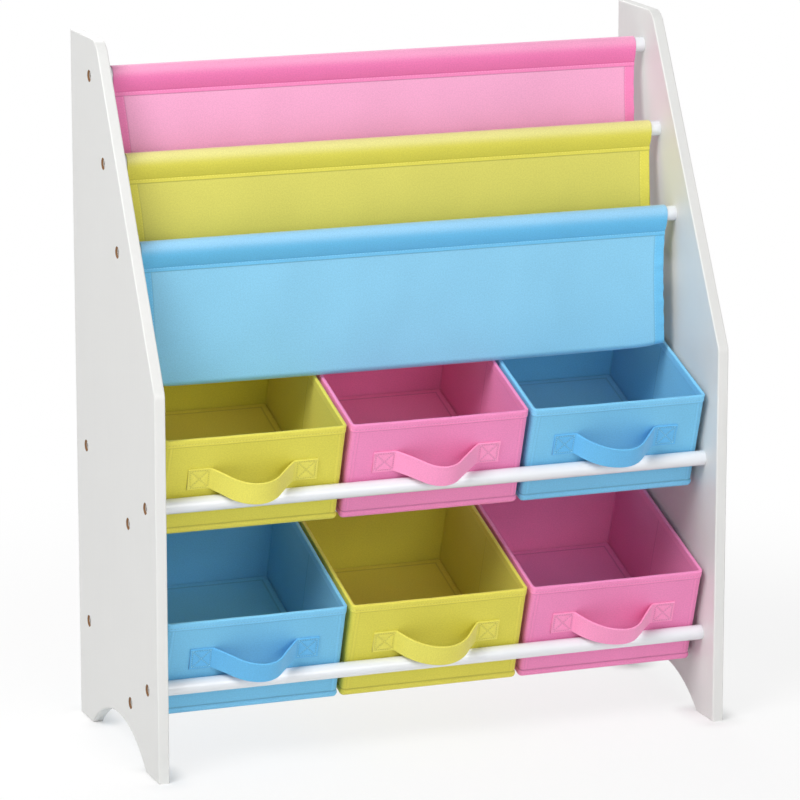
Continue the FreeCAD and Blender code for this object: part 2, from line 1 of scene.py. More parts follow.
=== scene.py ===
import json
import math
import bmesh
import bpy
import numpy as np
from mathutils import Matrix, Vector


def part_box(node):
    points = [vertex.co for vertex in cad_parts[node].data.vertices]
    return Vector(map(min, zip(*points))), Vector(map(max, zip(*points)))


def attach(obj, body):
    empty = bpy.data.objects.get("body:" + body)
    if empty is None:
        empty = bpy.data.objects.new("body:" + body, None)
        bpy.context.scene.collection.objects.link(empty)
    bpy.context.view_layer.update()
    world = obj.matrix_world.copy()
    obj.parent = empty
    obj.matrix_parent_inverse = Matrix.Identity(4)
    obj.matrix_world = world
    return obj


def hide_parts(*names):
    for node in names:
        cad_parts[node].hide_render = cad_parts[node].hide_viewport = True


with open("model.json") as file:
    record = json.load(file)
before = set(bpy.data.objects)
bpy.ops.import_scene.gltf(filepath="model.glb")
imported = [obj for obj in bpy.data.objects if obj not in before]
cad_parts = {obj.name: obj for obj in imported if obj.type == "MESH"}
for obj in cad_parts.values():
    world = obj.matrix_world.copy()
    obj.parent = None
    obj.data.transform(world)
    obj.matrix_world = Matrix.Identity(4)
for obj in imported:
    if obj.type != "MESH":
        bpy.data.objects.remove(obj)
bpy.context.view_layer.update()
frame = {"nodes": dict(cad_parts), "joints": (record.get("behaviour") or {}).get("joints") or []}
mm = 0.001                  # sizes in the dictionaries are millimetres
weld = 0.001 * mm           # points closer than this are one point
print("frame:", len(frame["nodes"]), "nodes")

# sRGB tones: box walls and their doubled hems, sling walls and their doubled sleeves, straps, thread
colours = {
    "pink": {"single": (243, 143, 194), "doubled": (250, 147, 199), "sling": (242, 168, 206),
             "sleeve": (243, 124, 184), "strap": (255, 158, 204), "thread": (252, 166, 209)},
    "yellow": {"single": (223, 215, 84), "doubled": (231, 222, 90), "sling": (214, 208, 98),
               "sleeve": (226, 217, 82), "strap": (232, 224, 98), "thread": (236, 229, 112)},
    "blue": {"single": (123, 198, 236), "doubled": (130, 206, 246), "sling": (138, 204, 236),
             "sleeve": (104, 194, 240), "strap": (106, 190, 240), "thread": (150, 214, 246)},
}
boxColours = {
    "box_upper_left": "yellow", "box_upper_middle": "pink", "box_upper_right": "blue",
    "box_lower_left": "blue", "box_lower_middle": "yellow", "box_lower_right": "pink",
}


# Reading the frame

def nodePoints(name):
    mesh = frame["nodes"][name].data
    flat = np.empty(len(mesh.vertices) * 3, np.float32)
    mesh.vertices.foreach_get("co", flat)
    return flat.reshape(-1, 3).astype(float)


def tubeAxis(name):
    # centre (y, z) of a tube that runs along X, in mm
    low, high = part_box(name)
    return np.array((low.y + high.y, low.z + high.z)) / 2 / mm


def tubeRadius(name):
    low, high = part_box(name)
    return (high.z - low.z) / 2 / mm


tubes = [name for name in frame["nodes"]
         if name.endswith(("_rod", "_rail")) or name.startswith("sling_rod")]
slideAxis = np.array(frame["joints"][0]["axis"])        # along a box's floor, to the rear
upAxis = np.cross((1, 0, 0), slideAxis)                 # square to a box's floor
boxAxes = np.array(((1, 0, 0), slideAxis, upAxis))


# Building meshes

def patch(points, uv, seam=0.0, doubled=0.0, paintedHighlight=0.0):
    # a grid of points with its flat map in metres, and marks from 0 to 1 for painted shade along sewn
    # lines, creases, corners and cut edges, for doubled cloth and for a painted highlight where light falls
    # on the cloth
    shape = points.shape[:-1]
    marks = {"seam": seam, "doubled": doubled, "paintedHighlight": paintedHighlight}
    marks = {name: np.broadcast_to(mark, shape) for name, mark in marks.items()}
    return {"points": points, "uv": np.broadcast_to(uv, shape + (2,)), **marks}


def newPiece(name, patches, material, body, replaced=None):
    quads = []
    start = 0
    for item in patches:
        shape = item["points"].shape[:-1]
        index = start + np.arange(np.prod(shape)).reshape(shape)
        corners = (index[..., :-1, :-1], index[..., :-1, 1:], index[..., 1:, 1:], index[..., 1:, :-1])
        quads.append(np.stack(corners, -1).reshape(-1, 4))
        start += index.size
    quads = np.concatenate(quads)

    def gather(key, width):
        return np.concatenate([item[key].reshape(-1, width) for item in patches])

    mesh = bpy.data.meshes.new(name)
    mesh.from_pydata(gather("points", 3).tolist(), [], quads.tolist())
    mesh.uv_layers.new(name="cloth").data.foreach_set("uv", gather("uv", 2)[quads.ravel()].ravel())
    # the marks go in as attributes: painted shade, doubled cloth and painted highlight
    for mark in ("seam", "doubled", "paintedHighlight"):
        mesh.attributes.new(mark, "FLOAT", "POINT").data.foreach_set("value", gather(mark, 1).ravel())
    shell = bmesh.new()
    shell.from_mesh(mesh)
    bmesh.ops.remove_doubles(shell, verts=shell.verts, dist=weld)
    bmesh.ops.recalc_face_normals(shell, faces=shell.faces)
    shell.to_mesh(mesh)
    shell.free()
    mesh.shade_smooth()
    mesh.materials.append(material)
    piece = bpy.data.objects.new(name, mesh)
    bpy.context.scene.collection.objects.link(piece)
    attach(piece, body)
    if replaced:
        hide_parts(replaced)
    return piece


def chain(*rows):
    return np.concatenate(rows)


def bell(values, centre, reach):
    # a bell of height 1 at centre
    return np.exp(-((values - centre) / reach) ** 2)


def ease(values, start, reach):
    # an even climb from 0 at start to 1 one reach further on
    return np.clip((values - start) / reach, 0, 1)


def wave(turns, phase=0.0):
    return np.sin(2 * math.pi * turns + phase)


def waveSum(across, along, table, phase):
    # a sum of waves, each with its strength and its lengths across and along
    return sum(strength * wave(across / wide + along / tall, start)
               for (strength, wide, tall), start in zip(table, phase))


def phases(seed, count):
    return np.random.default_rng(seed).uniform(0, 2 * math.pi, count)


def paintedShadeAt(away, look):
    # painted shade beside a sewn line at a distance: its strength times a bell of its reach
    strength, reach = look
    return strength * bell(away, 0, reach)


def strongest(*marks):
    return np.max(np.broadcast_arrays(*marks), axis=0)


def spread(start, end, step):
    # even places from start to end, about one step apart
    return np.linspace(start, end, int((end - start) / step) + 1)


def lineTo(first, last, step=1.0):
    count = max(2, int(math.dist(first, last) / step) + 1)
    return np.linspace(first, last, count)


def arcAbout(centre, radius, first, last, step=0.5):
    # points on a circle between two angles; the radius may change evenly along the arc
    radii = np.broadcast_to(radius, 2)
    count = max(5, int(abs(last - first) * radii.max() / step) + 1)
    angles = np.linspace(first, last, count)
    reach = np.linspace(radii[0], radii[1], count)[:, None]
    return np.asarray(centre) + reach * np.stack((np.cos(angles), np.sin(angles)), -1)


def lengthAlong(points):
    return chain([0], np.cumsum(np.linalg.norm(np.diff(points, axis=0), axis=1)))


def resample(points, stations):
    run = lengthAlong(points)
    return np.stack([np.interp(stations, run, column) for column in points.T], -1)


def thinOut(places, low, high, closest):
    # sorted places inside a range, with those too close to their neighbours left out
    places = np.unique(np.round(np.clip(places, low, high), 3))
    places = places[chain([True], np.diff(places) > closest)]
    places[-1] = high
    return places


def unit(rows):
    return rows / np.linalg.norm(rows, axis=1, keepdims=True)


def squared(rows, along):
    # unit vectors with their part along the given directions taken out
    return unit(rows - along * (along * rows).sum(1, keepdims=True))


def flatMap(across, along):
    return np.stack(np.broadcast_arrays(across, along), -1) * mm


# Stitches: an ellipsoid for each, laid along a line and half sunk in the cloth

thread = {"pitch": 3.4, "length": 2.7, "width": 0.62, "sink": 0.12, "rings": 5, "sides": 6}


def stitches(line, outward, pitch=thread["pitch"]):
    run = lengthAlong(line)
    centres = np.arange(pitch / 2, run[-1], pitch)
    reach = thread["length"] / thread["pitch"] * pitch / 2
    along = unit(resample(line, centres + reach) - resample(line, centres - reach))
    outward = np.broadcast_to(outward, line.shape)
    out = np.stack([np.interp(centres, run, column) for column in outward.T], -1)
    out = squared(out, along)
    side = np.cross(along, out)
    tilt = np.linspace(-math.pi / 2, math.pi / 2, thread["rings"])[:, None, None]
    turn = np.linspace(0, 2 * math.pi, thread["sides"] + 1)[:, None]
    middle = resample(line, centres) - out * thread["sink"]
    along, out, side, middle = (each[:, None, None] for each in (along, out, side, middle))
    ring = out * np.cos(turn) + side * np.sin(turn)
    return middle + along * reach * np.sin(tilt) + ring * np.cos(tilt) * thread["width"] / 2


# Shader groups

def feed(tree, node, inputs):
    # links a socket to each named input, or sets its value
    for key, value in dict(inputs).items():
        if isinstance(value, bpy.types.NodeSocket):
            tree.links.new(value, node.inputs[key])
        else:
            node.inputs[key].default_value = value


def place(tree, kind, inputs=(), **settings):
    made = tree.nodes.new("ShaderNode" + kind)
    for name, value in settings.items():
        setattr(made, name, value)
    feed(tree, made, inputs)
    return made


def sums(tree, operation, *values):
    return place(tree, "Math", enumerate(values), operation=operation).outputs[0]


def vector(tree, operation, *values):
    return place(tree, "VectorMath", enumerate(values), operation=operation).outputs[0]


def measure(tree, operation, *values):
    return place(tree, "VectorMath", enumerate(values), operation=operation).outputs["Value"]


def scaled(tree, value, factor):
    return place(tree, "VectorMath", {0: value, "Scale": factor}, operation="SCALE").outputs[0]


def mixColour(tree, factor, first, second):
    return place(tree, "Mix", {0: factor, 6: first, 7: second}, data_type="RGBA").outputs[2]


def noise(tree, spot, scale, detail=3.0):
    return place(tree, "TexNoise", {"Vector": spot, "Scale": scale, "Detail": detail}).outputs[0]


def ramp(tree, value, low, high, bottom=0.0, top=1.0):
    return place(tree, "MapRange", {0: value, 1: low, 2: high, 3: bottom, 4: top},
                 interpolation_type="SMOOTHSTEP").outputs[0]


def objectSpot(tree):
    return place(tree, "TexCoord").outputs["Object"]


def newGroup(name, inputs):
    tree = bpy.data.node_groups.new(name, "ShaderNodeTree")
    outputs = {"Colour": "Color", "Roughness": "Float", "Height": "Float"}
    for way, sockets in (("INPUT", inputs), ("OUTPUT", outputs)):
        for socket, kind in sockets.items():
            tree.interface.new_socket(socket, in_out=way, socket_type="NodeSocket" + kind)
    return tree, tree.nodes.new("NodeGroupInput").outputs, tree.nodes.new("NodeGroupOutput")


def linear(tone):
    share = np.array(tone) / 255
    curve = np.where(share <= 0.04045, share / 12.92, ((share + 0.055) / 1.055) ** 2.4)
    return (*curve, 1.0)


# scales of the patterns per metre, and the shade, roughness and height that each gives
spun = {"dotEdge": (0.20, 0.42), "dotShade": 0.07, "dotGloss": 0.08, "paintedSeamShade": 0.34,
        "fibres": 2600.0, "fibreStretch": 0.35, "fibreHeight": 0.5, "roughness": (0.58, 0.74),
        "mottle": 16.0, "mottleShade": (0.98, 1.015), "grain": 620.0, "grainShade": (0.94, 1.04),
        "bumpDepth": 0.15, "bumpStrength": 0.35, "sheenRoughness": 0.45, "specular": 0.3}
sprayed = {"peel": 420.0, "streaks": 520.0, "streakStretch": 0.02, "streakHeight": 0.6,
           "broad": 9.0, "broadShade": (0.985, 1.01), "bumpDepth": 0.08, "bumpStrength": 0.25,
           "coatRoughness": 0.12}


def clothGroup():
    # a turned lattice of pressed dots, mottled, with painted shade along sewn lines, creases and corners,
    # and a painted highlight
    tree, given, wanted = newGroup("spunCloth", {
        "Vector": "Vector", "Single": "Color", "Doubled": "Color", "Doubling": "Float", "Painted highlight": "Float",
        "Seam": "Float", "Dots per metre": "Float", "Dot depth": "Float"})
    spot = given["Vector"]
    turned = place(tree, "Mapping", {"Vector": spot, "Rotation": (0, 0, math.pi / 4)}).outputs[0]
    lattice = scaled(tree, turned, given["Dots per metre"])
    cell = vector(tree, "SUBTRACT", vector(tree, "FRACTION", lattice), (0.5, 0.5, 0.0))
    dot = ramp(tree, measure(tree, "LENGTH", cell), *spun["dotEdge"], 1.0, 0.0)
    stretched = vector(tree, "MULTIPLY", spot, (1.0, spun["fibreStretch"], 1.0))
    fibres = noise(tree, stretched, spun["fibres"])
    plain = mixColour(tree, given["Doubling"], given["Single"], given["Doubled"])
    # painted highlight: mixed towards white where light falls on the top of a sleeve
    plain = mixColour(tree, given["Painted highlight"], plain, (1.0, 1.0, 1.0, 1.0))
    shade = ramp(tree, noise(tree, spot, spun["mottle"]), 0.25, 0.75, *spun["mottleShade"])
    # the dots' own tone, then painted shade along sewn lines, creases, corners and cut edges
    for mask, depth in ((dot, spun["dotShade"]), (given["Seam"], spun["paintedSeamShade"])):
        kept = sums(tree, "SUBTRACT", 1.0, sums(tree, "MULTIPLY", mask, depth))
        shade = sums(tree, "MULTIPLY", shade, kept)
    grain = ramp(tree, noise(tree, spot, spun["grain"]), 0.28, 0.72, *spun["grainShade"])
    shade = sums(tree, "MULTIPLY", shade, grain)
    dull = ramp(tree, fibres, 0.2, 0.8, *spun["roughness"])
    shine = sums(tree, "MULTIPLY", dot, spun["dotGloss"])
    raised = sums(tree, "MULTIPLY", fibres, spun["fibreHeight"])
    pressed = sums(tree, "MULTIPLY", dot, given["Dot depth"])
    feed(tree, wanted, {
        "Colour": scaled(tree, plain, shade), "Roughness": sums(tree, "SUBTRACT", dull, shine),
        "Height": sums(tree, "SUBTRACT", raised, pressed)})
    return tree


def paintGroup():
    # a fine orange peel, faint streaks along Z and broad changes of gloss
    tree, given, wanted = newGroup("sprayedPaint", {
        "Vector": "Vector", "Colour": "Color", "Gloss low": "Float", "Gloss high": "Float",
        "Streak": "Float"})
    spot = given["Vector"]
    peel = noise(tree, spot, sprayed["peel"], 2.0)
    drawn = vector(tree, "MULTIPLY", spot, (1.0, 1.0, sprayed["streakStretch"]))
    streaks = noise(tree, drawn, sprayed["streaks"])
    broad = noise(tree, spot, sprayed["broad"])
    streak = sums(tree, "MULTIPLY", sums(tree, "SUBTRACT", streaks, 0.5), given["Streak"])
    shade = sums(tree, "ADD", ramp(tree, broad, 0.3, 0.7, *sprayed["broadShade"]), streak)
    glossLow, glossHigh = given["Gloss low"], given["Gloss high"]
    gloss = place(tree, "MapRange", {0: broad, 1: 0.3, 2: 0.7, 3: glossLow, 4: glossHigh})
    ridges = sums(tree, "MULTIPLY", streaks, sprayed["streakHeight"])
    feed(tree, wanted, {"Colour": scaled(tree, given["Colour"], shade), "Roughness": gloss.outputs[0],
                        "Height": sums(tree, "ADD", peel, ridges)})
    return tree


clothLook = clothGroup()
paintLook = paintGroup()


def newMaterial(name):
    material = bpy.data.materials.new(name)
    material.use_nodes = True
    tree = material.node_tree
    return material, tree, tree.nodes["Principled BSDF"]


def useGroup(tree, shader, group, inputs, finish):
    look = place(tree, "Group", node_tree=group)
    feed(tree, look, inputs)
    bump = place(tree, "Bump", {"Height": look.outputs["Height"], "Strength": finish["bumpStrength"],
                                "Distance": finish["bumpDepth"] * mm})
    feed(tree, shader, {"Base Color": look.outputs["Colour"], "Roughness": look.outputs["Roughness"],
                        "Normal": bump.outputs[0]})
    return look.outputs


def clothMaterial(name, single, doubled, dots, depth, sheen):
    material, tree, shader = newMaterial(name)

    def mark(attribute):
        return place(tree, "Attribute", attribute_name=attribute).outputs["Fac"]

    useGroup(tree, shader, clothLook, {
        "Vector": place(tree, "UVMap", uv_map="cloth").outputs[0],
        "Single": linear(single), "Doubled": linear(doubled), "Doubling": mark("doubled"),
        "Painted highlight": mark("paintedHighlight"), "Seam": mark("seam"), "Dots per metre": dots, "Dot depth": depth}, spun)
    feed(tree, shader, {"Sheen Weight": sheen, "Sheen Roughness": spun["sheenRoughness"],
                        "Specular IOR Level": spun["specular"]})
    return material


def paintMaterial(name, tone, gloss, streak, coat):
    material, tree, shader = newMaterial(name)
    look = useGroup(tree, shader, paintLook, {
        "Vector": objectSpot(tree), "Colour": linear(tone),
        "Gloss low": gloss[0], "Gloss high": gloss[1], "Streak": streak}, sprayed)
    feed(tree, shader, {"Coat Weight": coat, "Coat Roughness": sprayed["coatRoughness"]})
    return material, tree, shader, look


clothKinds = {      # tones of the single and the doubled cloth, dots per metre, depth of the dots, sheen
    "boxCloth": ("single", "doubled", 900.0, 0.5, 0.18),
    "slingCloth": ("sling", "sleeve", 800.0, 0.5, 0.35),
    "strapCloth": ("strap", "strap", 1300.0, 0.8, 0.25),
    "thread": ("thread", "thread", 2400.0, 0.3, 0.1),
}
clothOf = {}
for tone, shades in colours.items():
    for kind, (single, doubled, *weave) in clothKinds.items():
        clothOf[kind, tone] = clothMaterial(f"{kind}_{tone}", shades[single], shades[doubled], *weave)
print("materials:", len(bpy.data.materials))


# Side boards, tubes, plugs and the card in the box walls keep their solids

boardPaint = {"tone": (223, 223, 221), "gloss": (0.36, 0.46), "streak": 0.035, "coat": 0.08}
bareFibre = {"tone": (136, 98, 62), "radius": 6.35, "grain": 1800.0, "shade": (0.7, 1.15), "roughness": 0.9}
tubePaint = {"tone": (231, 234, 238), "gloss": (0.20, 0.28), "streak": 0.0, "coat": 0.35}
zincPlate = {"tones": ((186, 186, 184), (214, 213, 208)), "gloss": (0.24, 0.42), "cloud": 700.0}
cardStock = {"tone": (176, 146, 106), "gloss": (0.8, 0.95), "streak": 0.12, "coat": 0.0}


def dress(names, material):
    for name in names:
        for slot in frame["nodes"][name].material_slots:
            slot.material = material


def boardMaterial():
    # white paint, with bare brown fibre inside the countersink of each screw hole
    material, tree, shader, look = paintMaterial("boardPaint", **boardPaint)
    spot = objectSpot(tree)
    flat = vector(tree, "MULTIPLY", spot, (0.0, 1.0, 1.0))
    bare = 0.0
    for name in tubes:
        away = measure(tree, "DISTANCE", flat, (0.0, *tubeAxis(name) * mm))
        bare = sums(tree, "MAXIMUM", sums(tree, "LESS_THAN", away, bareFibre["radius"] * mm), bare)
    fibre = ramp(tree, noise(tree, spot, bareFibre["grain"]), 0.3, 0.7, *bareFibre["shade"])
    raw = scaled(tree, linear(bareFibre["tone"])[:3], fibre)
    dull = sums(tree, "MULTIPLY", bare, bareFibre["roughness"])
    feed(tree, shader, {"Base Color": mixColour(tree, bare, look["Colour"], raw),
                        "Roughness": sums(tree, "MAXIMUM", look["Roughness"], dull)})
    return material


def zincMaterial():
    material, tree, shader = newMaterial("zincPlate")
    cloud = noise(tree, objectSpot(tree), zincPlate["cloud"])
    dull, bright = (linear(tone) for tone in zincPlate["tones"])
    tone = mixColour(tree, ramp(tree, cloud, 0.3, 0.7), dull, bright)
    gloss = ramp(tree, cloud, 0.3, 0.7, *zincPlate["gloss"])
    feed(tree, shader, {"Base Color": tone, "Roughness": gloss, "Metallic": 1.0})
    return material


dress(["side_panel_left", "side_panel_right"], boardMaterial())
dress(tubes, paintMaterial("tubePaint", **tubePaint)[0])
zinc = zincMaterial()
dress(["rod_end_plugs_left", "rod_end_plugs_right"], zinc)
dress([box + "_wall_boards" for box in boxColours], paintMaterial("cardStock", **cardStock)[0])
print("boards and tubes dressed:", len(tubes) + 4 + len(boxColours))


# Screws: a profile turned about the tube's axis, with a six-sided socket in the head

screw = {"head": 4.7, "sunk": 1.1, "headDepth": 1.9, "edge": 0.35, "shank": 3.0, "neck": 6.0,
         "socket": 2.0, "socketDepth": 2.2, "socketLip": 0.2, "lipDepth": 0.15, "tip": 1.5,
         "threadPitch": 1.0, "threadDepth": 0.25, "sides": 36, "sharpAngle": 40}


def makeScrews(side):
    low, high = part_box(f"screws_{side}")
    inward = 1 if side == "left" else -1
    top = (low.x if side == "left" else high.x) / mm + inward * screw["sunk"]
    length = (high.x - low.x) / mm - screw["sunk"]
    turn = np.linspace(0, 2 * math.pi, screw["sides"] + 1)
    sixth = math.pi / 3
    hexagon = screw["socket"] / np.cos((turn % sixth) - sixth / 2)
    outline = [(0, screw["socketDepth"]), (hexagon, screw["socketDepth"]), (hexagon, screw["lipDepth"]),
               (hexagon + screw["socketLip"], 0.0), (screw["head"] - screw["edge"], 0.0),
               (screw["head"], screw["edge"]), (screw["shank"], screw["headDepth"])]
    # the shank's thread: the radius falls and rises once in each pitch
    rows = np.arange(screw["headDepth"] + screw["neck"], length - screw["tip"], screw["threadPitch"] / 2)
    outline += [(screw["shank"] - screw["threadDepth"] * (row % 2), depth)
                for row, depth in enumerate(rows)]
    outline += [(screw["shank"] - screw["tip"] / 2, length), (0, length)]
    rings = np.array([radius + 0 * turn for radius, depth in outline])
    depths = np.array([depth for radius, depth in outline])[:, None]
    x = np.broadcast_to(top + inward * depths, rings.shape)
    patches = []
    for name in tubes:
        y, z = tubeAxis(name)
        points = np.stack((x, y + rings * np.cos(turn), z + rings * np.sin(turn)), -1) * mm
        patches.append(patch(points, flatMap(rings * turn, x)))
    piece = newPiece(f"screw_set_{side}", patches, zinc, "frame", f"screws_{side}")
    piece.modifiers.new("edges", "EDGE_SPLIT").split_angle = math.radians(screw["sharpAngle"])


for side in ("left", "right"):
    makeScrews(side)
print("screws made")


# Book slings: a strip of cloth carried along a path of lines, arcs and cubic curves in the YZ plane

sling = {"cloth": 1.1, "solidCloth": 1.2, "sleeveGap": 0.35, "shoulder": 1.55, "flank": 0.45,
         "stitchDrop": 18.4, "tab": 4.4, "layerGap": 0.62, "foldRadius": 5.0, "foldGap": 0.06,
         "overlap": 9.0, "step": 2.4, "closest": 0.12, "sleeveRows": 60, "foldRows": 24,
         "seamReach": 7.0, "seamRows": 41, "columnStep": 5.0, "hemColumns": 26, "hemFine": 3.0,
         "hemWidth": 11.5, "hemThick": 0.5, "hemSoft": 0.5, "tabSoft": (0.4, 0.3), "ripple": 0.65,
         "waves": ((1.0, 173, 420), (0.7, 97, -310)), "topWaves": ((0.3, 47, 150),),
         "pucker": 0.16, "puckerLength": 11, "puckerDrop": 9.0, "flutter": 0.55, "flutterReach": 8.0,
         "bow": 1.8, "bowFade": 14.0, "sideRise": 1.4, "cornerRise": 2.4, "cornerReach": 16.0, "ridge": 0.4,
         "tabStitch": 0.9, "hemStitch": 1.5, "tabDoubled": 0.75, "hemDoubled": 0.8, "edgeDoubled": 0.6,
         # painted highlight over the tube: its strength, where it ends and its softness; then the painted
         # shade on the cut edges
         "paintedHighlight": 0.21, "highlightFrom": 15.0, "highlightFade": 3.5, "edgeShade": 0.2,
         "tabShade": (0.75, 0.6), "sleeveShade": (0.35, 0.6),         # strength and reach of painted shade along sewn lines
         "hemShade": (0.5, 0.5), "sideShade": (0.3, 0.5)}
slingHang = {"pink": (11.5, 6.0), "yellow": (8.0, 6.0), "blue": (4.0, 3.0)}     # sleeve's lean, sides' pull
rodOf = {"pink": "sling_rod_rear", "yellow": "sling_rod_middle", "blue": "sling_rod_front"}
rods = {tone: tubeAxis(name) for tone, name in rodOf.items()}


def sleeveAxes(tone):
    # down from the tube to the seam, and square to that, to the front
    lean = math.radians(slingHang[tone][0])
    return np.array((-math.sin(lean), -math.cos(lean))), np.array((-math.cos(lean), math.sin(lean)))


def seamPoints(tone):
    # the front and rear layer where a sleeve is sewn together under its tube
    down, ahead = sleeveAxes(tone)
    seam = rods[tone] + down * sling["stitchDrop"]
    return seam + ahead * sling["layerGap"], seam - ahead * sling["layerGap"]


def sleevePath(tone):
    # up from the rear of the seam, over the tube and down to its front: a cubic curve on each side,
    # from the top of the tube, through a shoulder and a flank as handles, to the seam
    rod = rods[tone]
    radius = tubeRadius(rodOf[tone]) + sling["sleeveGap"] + sling["cloth"] / 2
    down, ahead = sleeveAxes(tone)
    t = np.linspace(0, 1, sling["sleeveRows"])[:, None]
    halves = []
    for side, seam in zip((1, -1), seamPoints(tone)):
        top = rod - down * radius
        shoulder = top + side * ahead * sling["shoulder"] * radius
        flank = rod + side * ahead * radius + down * sling["flank"] * sling["stitchDrop"]
        halves.append((1 - t) ** 3 * top + 3 * t * (1 - t) ** 2 * shoulder
                      + 3 * t ** 2 * (1 - t) * flank + t ** 3 * seam)
    return chain(halves[1][::-1], halves[0][1:])


def leanOf(centre, top, side):
    # the lean of a line from top that touches the fold's circle, in front (1) or behind (-1)
    away = top - centre
    return math.atan2(*away) + side * math.asin(sling["foldRadius"] / np.linalg.norm(away))


def pocketPath(centre, frontTop, rearTop):
    # round the bottom of a pocket, drifting out by one layer behind, and up against the rear wall
    frontLean, rearLean = leanOf(centre, frontTop, 1), leanOf(centre, rearTop, -1)
    grown = sling["foldRadius"] + sling["cloth"] + sling["foldGap"]
    bend = arcAbout(centre, (sling["foldRadius"], grown), math.pi - frontLean, 2 * math.pi - rearLean)
    rise = np.array((math.sin(rearLean), math.cos(rearLean))) * sling["overlap"]
    rearFoot = centre + sling["foldRadius"] * np.array((math.cos(rearLean), -math.sin(rearLean)))
    return lineTo(frontTop, bend[0]), bend, lineTo(bend[-1], bend[-1] + rise), lineTo(rearTop, rearFoot)


def tailPath(tone):
    rear = seamPoints(tone)[1]
    return lineTo(rear + sleeveAxes(tone)[0] * sling["tab"], rear)


def joinPath(parts):
    # stations along the named parts, closer where the cloth bends or is sewn, and where each part lies
    points = np.concatenate([parts[0][1]] + [part[1:] for name, part in parts[1:]])
    spans, reached = {}, 0.0
    for name, part in parts:
        spans[name] = (reached, reached + lengthAlong(part)[-1])
        reached = spans[name][1]
    close = [np.linspace(*spans["sleeve"], sling["sleeveRows"])]
    if "fold" in spans:
        close.append(np.linspace(*spans["fold"], sling["foldRows"]))
    beside = np.linspace(-sling["seamReach"], sling["seamReach"], sling["seamRows"])
    close += [edge + beside for edge in spans["sleeve"]]
    stations = chain(spread(0, reached, sling["step"]), *close)
    stations = thinOut(stations, 0, reached, sling["closest"])
    return resample(points, stations), stations, spans


